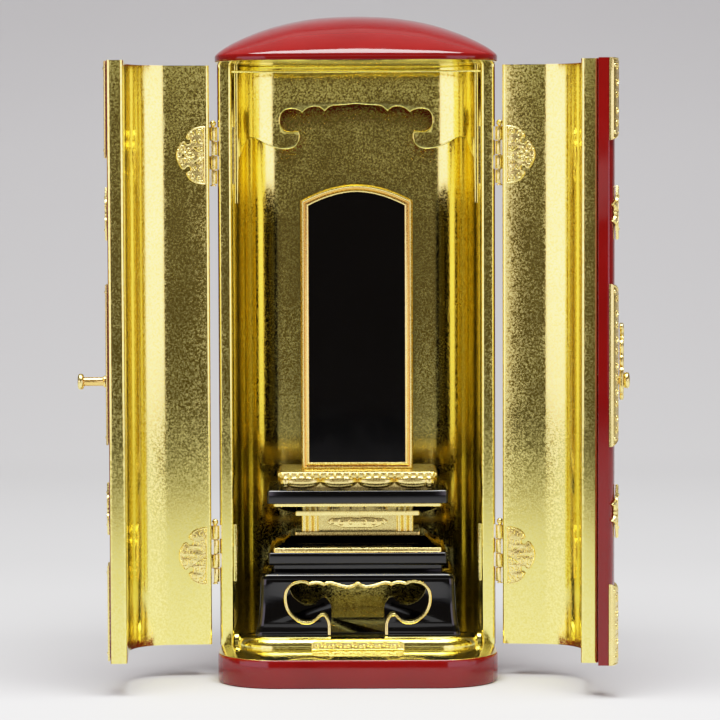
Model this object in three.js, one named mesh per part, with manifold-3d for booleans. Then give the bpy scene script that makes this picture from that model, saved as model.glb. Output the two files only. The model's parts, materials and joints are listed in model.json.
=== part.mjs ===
// Household altar cabinet: a red lacquered case with two wrap-round doors, gilt metal fittings,
// a gold-leafed inside with a cusped valance, and a memorial tablet standing on its floor.
// Millimetres. +Z is up, -Y is the front, and the origin is the centre of the base's underside.
import * as THREE from "three";
import { mergeVertices } from "three/addons/utils/BufferGeometryUtils.js";
import Module from "manifold-3d";

const wasm = await Module();
wasm.setup();

// Driving dimensions.
const caseWidth = 113.6;
const baseDepth = 128;
const cornerRadius = 24.2;
const baseHeight = 11.6;
const roofUnderside = 249.9;
const roofRim = 2.4;
const domeRise = 18.2;
const wall = 5.8;
const shellDepth = 85;
const doorThickness = 6.6;
const doorFoot = 13.2;
const doorHead = 249.3;
const leftOpening = 87;
const rightOpening = 84;
const floorThickness = 5.1;
const floorReach = 17;
const seat = 0.3;
const edgeRound = 1.2;
const railHeight = 0.9;
const railBelowRoof = 3.2;
const arcStep = 4.2;

// Sizes that follow from them.
const halfWidth = caseWidth / 2;
const halfDepth = baseDepth / 2;
const jambY = halfDepth - shellDepth;
const innerHalf = halfWidth - wall;
const floorTop = baseHeight + floorThickness;
const doorMiddle = (doorFoot + doorHead) / 2;
const past = 1; // how far a cutting block runs past the board it cuts

// Hinge axes stand just outside the case and just in front of the jambs.
const axisOut = 1.8;
const axisAhead = 1.0;
const axisX = halfWidth + axisOut;
const axisY = jambY - axisAhead;
const doorSetback = 0.4;
const doorReach = axisY + halfDepth - doorSetback;
const doorEdge = 1.5;
const doorMeeting = 0.3;

const gilt = { color: 0xc9a53a, roughness: 0.3, metalness: 1 };
const brass = { color: 0xe0c070, roughness: 0.25, metalness: 1 };
const redLacquer = { color: 0xa12b22, roughness: 0.12, metalness: 0 };
const blackLacquer = { color: 0x0a0a0c, roughness: 0.08, metalness: 0 };

const cabinet = new THREE.Group();

// Helpers.

function place(group, name, geometry, finish) {
  const mesh = new THREE.Mesh(geometry, new THREE.MeshStandardMaterial(finish));
  mesh.name = name;
  group.add(mesh);
  return mesh;
}

// A closed outline through [x, y, radius] corners, each one rounded to its own radius.
function roundedOutline(corners) {
  const points = [];
  corners.forEach(([x, y, radius = 0], index) => {
    const here = new THREE.Vector2(x, y);
    if (radius === 0) {
      points.push(here);
      return;
    }
    const before = corners.at(index - 1);
    const after = corners[(index + 1) % corners.length];
    const back = new THREE.Vector2(before[0], before[1]).sub(here).normalize();
    const ahead = new THREE.Vector2(after[0], after[1]).sub(here).normalize();
    const half = Math.acos(back.dot(ahead)) / 2;
    const middle = back.clone().add(ahead).normalize();
    const centre = here.clone().addScaledVector(middle, radius / Math.sin(half));
    const start = here.clone().addScaledVector(back, radius / Math.tan(half)).sub(centre);
    const sweep = Math.PI - 2 * half;
    const turn = Math.sign(back.cross(ahead)) * -sweep;
    const steps = Math.max(2, Math.round((radius * sweep) / arcStep));
    for (let step = 0; step <= steps; step += 1) {
      const spoke = start.clone().rotateAround(new THREE.Vector2(), (turn * step) / steps);
      points.push(spoke.add(centre));
    }
  });
  return new THREE.Shape(points);
}

function roundedRectangle(width, depth, radius) {
  const x = width / 2;
  const y = depth / 2;
  return roundedOutline([[-x, -y, radius], [x, -y, radius], [x, y, radius], [-x, y, radius]]);
}

// A plan outline raised from one height to another.
function raise(shape, from, to, soften = 0) {
  const geometry = new THREE.ExtrudeGeometry(shape, {
    depth: to - from - 2 * soften,
    bevelEnabled: soften > 0,
    bevelThickness: soften,
    bevelSize: soften,
    bevelOffset: -soften,
    bevelSegments: 1,
    curveSegments: 6,
  });
  geometry.translate(0, 0, from + soften);
  return geometry;
}

// An outline drawn in X and Z, standing with its front at frontY and going back by the thickness.
function stand(shape, frontY, thickness, curveSegments = 5) {
  const options = { depth: thickness, bevelEnabled: false, curveSegments };
  const geometry = new THREE.ExtrudeGeometry(shape, options);
  geometry.rotateX(Math.PI / 2);
  geometry.translate(0, frontY + thickness, 0);
  return geometry;
}

function solid(geometry) {
  const bare = geometry.clone();
  bare.deleteAttribute("normal");
  bare.deleteAttribute("uv");
  const welded = mergeVertices(bare, 1e-4);
  return new wasm.Manifold(new wasm.Mesh({
    numProp: 3,
    vertProperties: new Float32Array(welded.attributes.position.array),
    triVerts: new Uint32Array(welded.index.array),
  }));
}

function surface(body) {
  const mesh = body.getMesh();
  const geometry = new THREE.BufferGeometry();
  geometry.setAttribute("position", new THREE.BufferAttribute(new Float32Array(mesh.vertProperties), 3));
  geometry.setIndex(new THREE.BufferAttribute(new Uint32Array(mesh.triVerts), 1));
  geometry.computeVertexNormals();
  return geometry;
}

function join(geometries) {
  return surface(geometries.map(solid).reduce((whole, next) => whole.add(next)));
}

// The same piece for the other side: x is negated and every triangle is turned round again.
function mirrored(geometry) {
  const other = geometry.index ? geometry.toNonIndexed() : geometry.clone();
  other.scale(-1, 1, 1);
  const position = other.attributes.position;
  const second = new THREE.Vector3();
  const third = new THREE.Vector3();
  for (let k = 0; k < position.count; k += 3) {
    second.fromBufferAttribute(position, k + 1);
    third.fromBufferAttribute(position, k + 2);
    position.setXYZ(k + 1, third.x, third.y, third.z);
    position.setXYZ(k + 2, second.x, second.y, second.z);
  }
  other.computeVertexNormals();
  return other;
}

function box(low, high) {
  const size = high.map((value, axis) => value - low[axis]);
  const geometry = new THREE.BoxGeometry(...size);
  geometry.translate(...low.map((value, axis) => value + size[axis] / 2));
  return geometry;
}

// Rings of equal point count, stacked and closed by a flat fan at each end.
function loft(rings) {
  const count = rings[0].length;
  const points = rings.flat();
  const triangles = [];
  for (let ring = 0; ring + 1 < rings.length; ring += 1) {
    for (let k = 0; k < count; k += 1) {
      const next = (k + 1) % count;
      const a = ring * count + k;
      const b = ring * count + next;
      triangles.push(a, b, b + count, a, b + count, a + count);
    }
  }
  const last = (rings.length - 1) * count;
  for (let k = 1; k + 1 < count; k += 1) {
    triangles.push(0, k + 1, k, last, last + k, last + k + 1);
  }
  const geometry = new THREE.BufferGeometry();
  geometry.setAttribute("position", new THREE.Float32BufferAttribute(points.flat(), 3));
  geometry.setIndex(triangles);
  geometry.computeVertexNormals();
  return geometry;
}

// The same outline with no side longer than the given length.
function subdivided(points, longest) {
  return points.flatMap((point, index) => {
    const next = points[(index + 1) % points.length];
    const parts = Math.ceil(point.distanceTo(next) / longest);
    return Array.from({ length: parts }, (_, part) => point.clone().lerp(next, part / parts));
  });
}

// A block whose width changes with height; its depth stays narrower than its width by a set amount.
function steppedBlock(levels, narrower, radius) {
  const rings = levels.map(([z, width]) => {
    const outline = roundedRectangle(width, width - narrower, radius).getPoints();
    return outline.map((point) => [point.x, point.y, z]);
  });
  return loft(rings);
}

// Base, shell, floor, roof.

function buildCase() {
  const base = raise(roundedRectangle(caseWidth, baseDepth, cornerRadius), 0, baseHeight, 0.9);
  place(cabinet, "plinth", base, redLacquer);

  const innerRadius = cornerRadius - wall;
  const shellPlan = roundedOutline([
    [-halfWidth, jambY, edgeRound], [-halfWidth, halfDepth, cornerRadius],
    [halfWidth, halfDepth, cornerRadius], [halfWidth, jambY, edgeRound],
    [innerHalf, jambY, edgeRound], [innerHalf, halfDepth - wall, innerRadius],
    [-innerHalf, halfDepth - wall, innerRadius], [-innerHalf, jambY, edgeRound],
  ]);
  let shell = solid(raise(shellPlan, baseHeight, roofUnderside));
  Object.values(hingeHeights).forEach((height) => {
    [-1, 1].forEach((side) => {
      const across = [side * (innerHalf - past), side * (halfWidth + past)].sort((a, b) => a - b);
      const half = barrelLength / 2;
      const recess = box(
        [across[0], jambY - past, height - half],
        [across[1], jambY + strapThick, height + half],
      );
      shell = shell.subtract(solid(recess));
    });
  });
  place(cabinet, "cabinet_shell", surface(shell), gilt);

  const floorHalf = innerHalf - seat;
  const tongueNarrower = 1.6;
  const tongueHalf = innerHalf - tongueNarrower;
  const tongueRadius = floorReach - 0.5;
  const floorPlan = roundedOutline([
    [-floorHalf, jambY], [-floorHalf, halfDepth - wall - seat, innerRadius],
    [floorHalf, halfDepth - wall - seat, innerRadius], [floorHalf, jambY],
    [tongueHalf, jambY], [tongueHalf, jambY - floorReach, tongueRadius],
    [-tongueHalf, jambY - floorReach, tongueRadius], [-tongueHalf, jambY],
  ]);
  place(cabinet, "raised_floor", raise(floorPlan, baseHeight, floorTop), gilt);

  const railDepth = 1.5;
  const railFoot = roofUnderside - railBelowRoof;
  const lintel = box(
    [-innerHalf, jambY, railFoot],
    [innerHalf, jambY + railDepth, railFoot + railHeight],
  );
  place(cabinet, "lintel", lintel, gilt);

  place(cabinet, "roof", domedRoof(), redLacquer);
}

// The rim's outline shrinks towards the crown and turns from a rounded rectangle to an oval.
function domedRoof() {
  const longestSide = 20;
  const rim = roundedRectangle(caseWidth, baseDepth, cornerRadius).getPoints();
  const plan = subdivided(rim, longestSide);
  const soften = 0.5;
  const rimTop = roofUnderside + roofRim;
  const ringAt = (share, z) => plan.map((point) => {
    const oval = new THREE.Vector2(point.x / halfWidth, point.y / halfDepth).normalize();
    const mix = share ** 2;
    const x = point.x * mix + oval.x * halfWidth * (1 - mix);
    const y = point.y * mix + oval.y * halfDepth * (1 - mix);
    return [x * share, y * share, z];
  });
  const rings = [
    ringAt(1 - soften / halfWidth, roofUnderside),
    ringAt(1, roofUnderside + soften),
    ringAt(1, rimTop),
  ];
  const shares = [0.98, 0.94, 0.86, 0.72, 0.5, 0.2];
  const flatness = 2.3;
  const fullness = 0.75;
  shares.forEach((share) => {
    rings.push(ringAt(share, rimTop + domeRise * (1 - share ** flatness) ** fullness));
  });
  return loft(rings);
}

// Front ornament on the floor's step.

function buildFrontOrnament() {
  const half = 18.8;
  const height = 3.7;
  const corner = 1.6;
  const thick = 0.9;
  const foot = baseHeight + 0.3;
  const frontY = jambY - floorReach - seat - thick;
  const shoulder = half - 2.2;
  const top = foot + height;
  const outline = new THREE.Shape();
  outline.moveTo(-half, foot);
  outline.lineTo(half, foot);
  outline.lineTo(half, top - corner);
  outline.quadraticCurveTo(half - 0.4, top, shoulder, top);
  outline.lineTo(-shoulder, top);
  outline.quadraticCurveTo(0.4 - half, top, -half, top - corner);
  const pieces = [stand(outline, frontY, thick, 3)];
  const scrolls = 11;
  const margin = 1.5;
  const lean = 0.5;
  const pitch = (2 * (half - margin)) / scrolls;
  for (let k = 0; k < scrolls; k += 1) {
    const curl = new THREE.SphereGeometry(1, 6, 3);
    curl.scale(pitch * 0.56, 0.8, 1.15);
    curl.rotateY(k % 2 ? lean : -lean);
    curl.translate(margin - half + pitch * (k + 0.5), frontY + 0.1, foot + height / 2);
    pieces.push(curl);
  }
  place(cabinet, "front_ornament", join(pieces), brass);
}

// Valance.

// Splits every triangle that crosses a plane of constant x, so that the sheet can be bent there.
function sliceAcross(geometry, cuts) {
  let faces = [];
  const flat = (geometry.index ? geometry.toNonIndexed() : geometry).attributes.position;
  for (let k = 0; k < flat.count; k += 3) {
    faces.push([0, 1, 2].map((corner) => new THREE.Vector3().fromBufferAttribute(flat, k + corner)));
  }
  cuts.forEach((cut) => {
    const split = [];
    faces.forEach((face) => {
      [1, -1].forEach((side) => {
        const kept = [];
        face.forEach((point, index) => {
          const next = face[(index + 1) % 3];
          const here = (point.x - cut) * side;
          const there = (next.x - cut) * side;
          if (here > -1e-6) kept.push(point);
          if ((here > 1e-6 && there < -1e-6) || (here < -1e-6 && there > 1e-6)) {
            kept.push(point.clone().lerp(next, here / (here - there)));
          }
        });
        const area = kept.some((point) => (point.x - cut) * side > 1e-6);
        for (let k = 1; area && k + 1 < kept.length; k += 1) {
          split.push([kept[0], kept[k], kept[k + 1]]);
        }
      });
    });
    faces = split;
  });
  const sliced = new THREE.BufferGeometry();
  const numbers = faces.flat().flatMap((point) => [point.x, point.y, point.z]);
  sliced.setAttribute("position", new THREE.Float32BufferAttribute(numbers, 3));
  return mergeVertices(sliced, 1e-4);
}

// Half of the lower edge, from the middle outwards, as [bend across, bend down, across, down].
const valanceEdge = [
  [5, 16.0, 9.2, 16.1],
  [11.2, 16.2, 13.1, 18.6],
  [14.6, 16.3, 17.4, 16.5],
  [20.4, 16.6, 22.3, 19.0],
  [24.4, 17.3, 27.4, 17.4],
  [31.6, 17.7, 31.7, 22.2],
  [31.5, 26.6, 27.6, 26.8],
  [25.6, 26.9, 24.0, 26.4],
  [22.9, 28.4, 23.9, 31.0],
  [25.2, 34.2, 29.4, 34.2],
  [34.2, 34.0, 38.6, 31.4],
  [45.4, 26.8, 49.6, 33.2],
  [51.2, 36.6, 55.2, 37.8],
  [55.6, 49.0, 58.8, 56.6],
];

function buildValance() {
  const thick = 1.4;
  const cornerInner = 16.6;
  const faceX = innerHalf - 2.5;
  const flatHalf = faceX - cornerInner;
  const bendY = jambY + 2.6;
  const bendLength = cornerInner * (Math.PI / 2);
  const peakDown = 15.4;
  const outline = new THREE.Shape();
  outline.moveTo(0, roofUnderside - peakDown);
  valanceEdge.forEach(([bendX, bendDown, x, down]) => {
    outline.quadraticCurveTo(bendX, roofUnderside - bendDown, x, roofUnderside - down);
  });
  const ends = [[0, peakDown], ...valanceEdge.map((row) => row.slice(2))];
  const [reach, tipDown] = ends.at(-1);
  outline.lineTo(reach, roofUnderside);
  outline.lineTo(-reach, roofUnderside);
  outline.lineTo(-reach, roofUnderside - tipDown);
  for (let k = valanceEdge.length - 1; k >= 0; k -= 1) {
    const [bendX, bendDown] = valanceEdge[k];
    const [x, down] = ends[k];
    outline.quadraticCurveTo(-bendX, roofUnderside - bendDown, -x, roofUnderside - down);
  }
  const cuts = [];
  const bendSteps = 5;
  for (let k = 0; k <= bendSteps; k += 1) {
    const at = flatHalf + (bendLength * k) / bendSteps;
    cuts.push(at, -at);
  }
  const sheet = sliceAcross(stand(outline, 0, thick, 2), cuts);
  const position = sheet.attributes.position;
  for (let k = 0; k < position.count; k += 1) {
    const side = Math.sign(position.getX(k));
    const along = Math.abs(position.getX(k));
    const radius = cornerInner + position.getY(k);
    const beyond = along - flatHalf;
    const turned = Math.min(Math.max(beyond / cornerInner, 0), Math.PI / 2);
    const onward = Math.max(beyond - bendLength, 0);
    const x = Math.min(along, flatHalf) + radius * Math.sin(turned);
    const y = bendY + radius * Math.cos(turned) - onward;
    position.setXY(k, side * x, y);
  }
  sheet.computeVertexNormals();
  place(cabinet, "valance", sheet, gilt);
}

// Hinges.

const barrelLength = 23.2;
const barrelRadius = 1.8;
const pinRadius = 0.65;
const boreRadius = pinRadius + 0.3;
const knuckles = 4;
const knuckleGap = 0.3;
const hingeHeights = { upper: doorMiddle + 81.7, lower: doorMiddle - 81.7 };
const strapThick = 0.6;
const leafThick = 0.6;
const returnReach = 3.4;
const fanFromEdge = 1.6;

function knuckleSpan(index) {
  const length = (barrelLength - knuckleGap * (knuckles - 1)) / knuckles;
  const top = barrelLength / 2 - index * (length + knuckleGap);
  return [top - length, top];
}

// A fan with a big outer lobe, two smaller ones, round notches between them and a pierced eye.
// It is drawn with its straight edge on x = 0, reaching towards +x.
function fanOutline() {
  const half = 11.8;
  const fan = new THREE.Shape();
  fan.moveTo(0, -half);
  fan.quadraticCurveTo(6.6, -half, 7.8, -7.4);
  fan.quadraticCurveTo(7.2, -6.2, 6.1, -6.4);
  fan.quadraticCurveTo(5.6, -4.2, 7.6, -4.6);
  fan.quadraticCurveTo(8.6, -6.6, 10.0, -5.0);
  fan.quadraticCurveTo(13.6, 0, 10.0, 5.0);
  fan.quadraticCurveTo(8.6, 6.6, 7.6, 4.6);
  fan.quadraticCurveTo(5.6, 4.2, 6.1, 6.4);
  fan.quadraticCurveTo(7.2, 6.2, 7.8, 7.4);
  fan.quadraticCurveTo(6.6, half, 0, half);
  const eye = new THREE.Path();
  eye.absarc(9, 0, 0.6, 0, Math.PI * 2, true);
  fan.holes.push(eye);
  return fan;
}

// One leaf, about its hinge axis, for a board whose edge lies at edgeY (negative for the door).
// The strap lies just off the door's edge, and is let in flush with the case's. A return bends it on
// to the board's inner face, where the fan lies, and two knuckles ring the pin.
function hingeLeaf(edgeY, boardThickness, firstKnuckle) {
  const away = Math.sign(edgeY);
  const low = away < 0 ? edgeY + seat : edgeY;
  const high = low + strapThick;
  const strapNear = away < 0 ? high : low;
  const returnEnd = strapNear + away * returnReach;
  const leafX = -axisOut - boardThickness - seat - leafThick;
  const half = barrelLength / 2;
  const barrelGap = 0.35;
  const intoRing = 0.5;
  const pieces = [
    box([leafX, low, -half], [-barrelRadius - barrelGap, high, half]),
    box(
      [leafX, Math.min(strapNear, returnEnd), -half],
      [leafX + leafThick, Math.max(strapNear, returnEnd), half],
    ),
  ];
  const options = { depth: leafThick, bevelEnabled: false, curveSegments: 2 };
  const fan = new THREE.ExtrudeGeometry(fanOutline(), options);
  fan.rotateX(Math.PI / 2);
  fan.rotateZ((away * Math.PI) / 2);
  fan.translate(away > 0 ? leafX : leafX + leafThick, edgeY + away * fanFromEdge, 0);
  const rings = [];
  [firstKnuckle, firstKnuckle + 2].forEach((index) => {
    const [from, to] = knuckleSpan(index);
    const ring = new THREE.CylinderGeometry(barrelRadius, barrelRadius, to - from, 8);
    ring.rotateX(Math.PI / 2);
    ring.translate(0, 0, (from + to) / 2);
    const web = box([-barrelRadius - intoRing, low, from], [-boreRadius / 2, high, to]);
    rings.push(ring, web);
  });
  const bore = new THREE.CylinderGeometry(boreRadius, boreRadius, barrelLength * 2, 6);
  bore.rotateX(Math.PI / 2);
  const whole = [...pieces, fan, ...rings].map(solid).reduce((body, next) => body.add(next));
  return surface(whole.subtract(solid(bore)));
}

function hingePin() {
  const half = barrelLength / 2;
  const profile = [
    [0, -half - 0.9], [1.2, -half - 0.9], [1.2, -half - 0.35], [pinRadius, -half - 0.35],
    [pinRadius, half + 0.35], [0.9, half + 0.35], [1.4, half + 1.4], [1.0, half + 2.4], [0, half + 2.8],
  ].map(([r, z]) => new THREE.Vector2(r, z));
  const pin = new THREE.LatheGeometry(profile, 6);
  pin.rotateX(Math.PI / 2);
  return pin;
}

// Doors.

// Every door piece is drawn closed, about the right door's hinge axis, and mirrored for the left.
function doorPlan() {
  const outerX = -axisOut;
  const innerX = -axisOut - doorThickness;
  const freeX = doorMeeting - axisX;
  const innerY = -doorReach + doorThickness;
  const innerRadius = cornerRadius - doorThickness;
  return roundedOutline([
    [outerX, -doorEdge, edgeRound], [outerX, -doorReach, cornerRadius], [freeX, -doorReach, edgeRound],
    [freeX, innerY, edgeRound], [innerX, innerY, innerRadius], [innerX, -doorEdge, edgeRound],
  ]);
}

const stripHalf = 6.5;
const stripFlat = 3.0;
const stripCrown = 3.2;
const stripBack = -doorReach - seat;
const fittingThick = 1.0;
const flatThick = 0.7;
const postFromMeeting = 9.2;
const postHeight = 123.7;
const faceY = -doorReach;

function crownAt(across) {
  return stripBack - stripFlat - stripCrown * Math.sqrt(1 - (across / (stripHalf + 0.1)) ** 2);
}

function meetingStrip() {
  const points = [[-stripHalf, stripBack], [-stripHalf, stripBack - stripFlat]];
  const steps = 14;
  for (let k = 1; k < steps; k += 1) {
    const across = -stripHalf * Math.cos((Math.PI * k) / steps);
    points.push([across, crownAt(across)]);
  }
  points.push([stripHalf, stripBack - stripFlat], [stripHalf, stripBack]);
  const plan = new THREE.Shape(points.map(([x, y]) => new THREE.Vector2(x - axisX, y)));
  return raise(plan, doorFoot, doorHead);
}

// A sheet wrapped over the strip's crown, cut to an outline drawn in X (from the middle) and Z.
function crownFitting(outline) {
  const half = stripHalf - 0.1;
  const steps = 8;
  const inner = [];
  for (let k = 0; k <= steps; k += 1) {
    const across = -half * Math.cos((Math.PI * k) / steps);
    inner.push([across, crownAt(across) - seat]);
  }
  const outer = inner.map(([x, y]) => [x, y - fittingThick]).reverse();
  const plan = new THREE.Shape([...inner, ...outer].map(([x, y]) => new THREE.Vector2(x - axisX, y)));
  const sheet = raise(plan, doorFoot, doorHead);
  const clear = 20;
  const cutter = stand(outline, faceY - clear, clear - seat, 3);
  cutter.translate(-axisX, 0, 0);
  return surface(solid(sheet).intersect(solid(cutter)));
}

// Outlines in X and Z. A side of a plate can end in a swallow-tail notch.
function notchedPlate(left, right, low, high, lowNotch, highNotch) {
  const middle = (left + right) / 2;
  const plate = new THREE.Shape();
  plate.moveTo(left, low);
  plate.quadraticCurveTo((left + middle) / 2, low + lowNotch * 0.4, middle, low + lowNotch);
  plate.quadraticCurveTo((right + middle) / 2, low + lowNotch * 0.4, right, low);
  plate.lineTo(right, high);
  plate.quadraticCurveTo((right + middle) / 2, high - highNotch * 0.4, middle, high - highNotch);
  plate.quadraticCurveTo((left + middle) / 2, high - highNotch * 0.4, left, high);
  return plate;
}

// A long flower: a petal up and down, and two prongs with a small lobe between them on each side.
function flowerOutline(centreX, centreZ) {
  const half = 10.5;
  const quarter = [[1.7, 7.4], [2.6, 5.0], [6.1, 3.2], [3.0, 1.3], [4.2, 0]];
  const flower = new THREE.Shape();
  const corner = (index, signX, signZ) => {
    const [x, z] = quarter[index];
    return [centreX + signX * x, centreZ + signZ * z];
  };
  flower.moveTo(centreX, centreZ + half);
  [[1, 1], [1, -1], [-1, -1], [-1, 1]].forEach(([signX, signZ]) => {
    const outward = signX * signZ > 0;
    if (outward) {
      flower.quadraticCurveTo(...corner(0, signX, signZ), ...corner(1, signX, signZ));
      flower.lineTo(...corner(2, signX, signZ));
      flower.quadraticCurveTo(...corner(3, signX, signZ), ...corner(4, signX, signZ));
    } else {
      flower.quadraticCurveTo(...corner(3, signX, signZ), ...corner(2, signX, signZ));
      flower.lineTo(...corner(1, signX, signZ));
      flower.quadraticCurveTo(...corner(0, signX, signZ), centreX, centreZ + signZ * half);
    }
  });
  return flower;
}

const cornerLength = 31.8;
const tailNotch = 2.5;
const centreHalf = 31.6;
const centreHeight = doorMiddle - 1;
const flowerOffset = 58.2;

function buildStripFittings(door) {
  const half = stripHalf - 0.1;
  const fittings = {
    right_top_fitting: notchedPlate(-half, half, doorHead - cornerLength, doorHead, tailNotch, 0),
    right_upper_flower: flowerOutline(0, doorMiddle + flowerOffset),
    right_centre_fitting: notchedPlate(
      -half, half, centreHeight - centreHalf, centreHeight + centreHalf, tailNotch, tailNotch,
    ),
    right_lower_flower: flowerOutline(0, doorMiddle - flowerOffset),
    right_bottom_fitting: notchedPlate(-half, half, doorFoot, doorFoot + cornerLength, 0, tailNotch),
  };
  Object.entries(fittings).forEach(([name, outline]) => {
    place(door, name, crownFitting(outline), brass);
  });
}

// The left door's plates lie flat on its outer face, clear of the strip that closes over its edge.
function buildLeftFittings(door) {
  const near = 7.2;
  const far = 19;
  const middle = (near + far) / 2;
  const flowerX = middle + 0.6;
  const cornerReach = 38;
  const fittings = {
    left_top_fitting: notchedPlate(near, far, doorHead - cornerReach, doorHead, tailNotch, 0),
    left_upper_flower: flowerOutline(flowerX, doorMiddle + flowerOffset),
    left_centre_fitting: notchedPlate(
      near, far, centreHeight - centreHalf, centreHeight + centreHalf, tailNotch, tailNotch,
    ),
    left_lower_flower: flowerOutline(flowerX, doorMiddle - flowerOffset),
    left_bottom_fitting: notchedPlate(near, far, doorFoot, doorFoot + cornerReach, 0, tailNotch),
  };
  Object.entries(fittings).forEach(([name, outline]) => {
    const plate = stand(outline, faceY - seat - flatThick, flatThick, 3);
    plate.translate(-axisX, 0, 0);
    place(door, name, mirrored(plate), brass);
  });
}

const plateUnderside = 8.2;
const plateThick = 1.4;
const headUnderside = plateUnderside + plateThick + 0.3;
const stemRadius = 1.75;

// A turned stud with a round flat head, standing out from the door's face.
function roundPost(foot) {
  const profile = [
    [0, foot], [2.4, foot], [2.4, foot + 0.7], [stemRadius, foot + 1.1], [stemRadius, headUnderside],
    [2.6, headUnderside], [3.1, headUnderside + 0.6], [3.2, headUnderside + 1.3],
    [2.8, headUnderside + 2.0], [1.9, headUnderside + 2.4], [0, headUnderside + 2.4],
  ].map(([r, z]) => new THREE.Vector2(r, z));
  const post = new THREE.LatheGeometry(profile, 10);
  post.rotateX(Math.PI);
  post.translate(postFromMeeting - axisX, faceY, postHeight);
  return post;
}

// The hook plate, drawn upright about its pivot, with its slot open towards the meeting line.
function latchPlate() {
  const reach = 22.6;
  const tail = 7.8;
  const hookAt = 2 * postFromMeeting;
  const slot = stemRadius + 0.4;
  const plate = new THREE.Shape();
  plate.moveTo(0, -tail);
  plate.quadraticCurveTo(2.2, -tail + 0.6, 2.0, -5.4);
  plate.quadraticCurveTo(5.6, -4.4, 4.6, 0);
  plate.quadraticCurveTo(5.4, 4.2, 3.0, 5.6);
  plate.quadraticCurveTo(4.8, 7.2, 3.6, 9.4);
  plate.quadraticCurveTo(2.4, 11.0, 3.4, 12.6);
  plate.quadraticCurveTo(5.4, 15.6, 4.8, hookAt);
  plate.quadraticCurveTo(4.4, reach - 0.6, 0, reach);
  plate.lineTo(-2.6, reach - 0.6);
  plate.quadraticCurveTo(-3.4, reach - 1.4, -3.0, hookAt + slot - 0.4);
  plate.lineTo(0, hookAt + slot);
  plate.absarc(0, hookAt, slot, Math.PI / 2, -Math.PI / 2, true);
  plate.lineTo(-3.2, hookAt - slot - 0.5);
  plate.quadraticCurveTo(-5.2, 13.4, -3.4, 12.0);
  plate.quadraticCurveTo(-2.4, 10.6, -3.6, 9.4);
  plate.quadraticCurveTo(-4.8, 7.2, -3.0, 5.6);
  plate.quadraticCurveTo(-5.4, 4.2, -4.6, 0);
  plate.quadraticCurveTo(-5.6, -4.4, -2.0, -5.4);
  plate.quadraticCurveTo(-2.2, -tail + 0.6, 0, -tail);
  const pivot = new THREE.Path();
  pivot.absarc(0, 0, stemRadius + 0.3, 0, Math.PI * 2, true);
  plate.holes.push(pivot);
  [[0, 8.0, 0.9], [0, 12.6, 1.1], [2.9, 15.6, 0.6]].forEach(([x, z, r]) => {
    const eye = new THREE.Path();
    eye.absarc(x, z, r, 0, Math.PI * 2, true);
    plate.holes.push(eye);
  });
  const geometry = stand(plate, faceY - plateUnderside - plateThick, plateThick, 3);
  geometry.translate(postFromMeeting - axisX, 0, postHeight);
  return geometry;
}

function buildDoor(side, openAngle) {
  const sign = side === "right" ? 1 : -1;
  const dress = (geometry) => (sign > 0 ? geometry : mirrored(geometry));
  const door = new THREE.Group();
  door.position.set(sign * axisX, axisY, 0);
  door.rotation.z = sign * THREE.MathUtils.degToRad(openAngle);
  place(door, `${side}_door`, dress(raise(doorPlan(), doorFoot, doorHead)), gilt);
  const postFoot = sign > 0 ? seat : seat + flatThick + seat;
  place(door, `${side}_post`, dress(roundPost(postFoot)), brass);
  if (sign > 0) {
    place(door, "meeting_strip", meetingStrip(), redLacquer);
    buildStripFittings(door);
    place(door, "latch_plate", latchPlate(), brass);
  } else {
    buildLeftFittings(door);
  }
  Object.entries(hingeHeights).forEach(([level, height]) => {
    const doorLeaf = hingeLeaf(-doorEdge, doorThickness, 1);
    doorLeaf.translate(0, 0, height);
    place(door, `${side}_${level}_door_leaf`, dress(doorLeaf), brass);
    const caseLeaf = hingeLeaf(axisAhead, wall, 0);
    caseLeaf.translate(axisX, axisY, height);
    place(cabinet, `${side}_${level}_case_leaf`, dress(caseLeaf), brass);
    const pin = hingePin();
    pin.translate(axisX, axisY, height);
    place(cabinet, `${side}_${level}_hinge_pin`, dress(pin), brass);
  });
  cabinet.add(door);
}

// Memorial tablet.

const tabletY = jambY + 18;
const narrower = 26.2;
const footWidth = 84.2;
const footHeight = 25.4;
const footTop = floorTop + footHeight;
const neckTop = footTop + 2.9;
const lowerTop = neckTop + 12.7;
const waistTop = lowerTop + 6.7;
const upperTop = waistTop + 11.5;
const petalTop = upperTop + 7.1;
const boardTop = 201.2;
const tablet = new THREE.Group();
tablet.position.y = tabletY;

// The cusped opening of the foot, drawn from the middle outwards and mirrored.
// Each row is [bend x, bend z, x, z], with z above the floor.
const footOpening = [
  [2.0, 19.2, 4.0, 19.4],
  [6.6, 19.5, 10.6, 21.0],
  [12.6, 21.4, 13.9, 20.1],
  [15.4, 21.5, 17.6, 21.1],
  [19.0, 21.0, 19.9, 20.4],
  [21.4, 21.9, 24.0, 21.4],
  [29.2, 20.6, 29.2, 15.2],
  [29.2, 9.2, 23.6, 6.2],
  [19.6, 4.6, 16.8, 7.6],
  [14.4, 10.6, 12.2, 7.4],
  [11.2, 5.6, 11.2, 3.6],
];

function footOpeningShape() {
  const shape = new THREE.Shape();
  const peak = 20.9;
  const ends = [[0, peak], ...footOpening.map((row) => row.slice(2))];
  const [ledge] = ends.at(-1);
  const below = floorTop - past;
  shape.moveTo(0, floorTop + peak);
  footOpening.forEach(([bendX, bendZ, x, z]) => {
    shape.quadraticCurveTo(bendX, floorTop + bendZ, x, floorTop + z);
  });
  shape.lineTo(ledge, below);
  shape.lineTo(-ledge, below);
  shape.lineTo(-ledge, floorTop + ends.at(-1)[1]);
  for (let k = footOpening.length - 1; k >= 0; k -= 1) {
    const [bendX, bendZ] = footOpening[k];
    const [x, z] = ends[k];
    shape.quadraticCurveTo(-bendX, floorTop + bendZ, -x, floorTop + z);
  }
  return shape;
}

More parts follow.
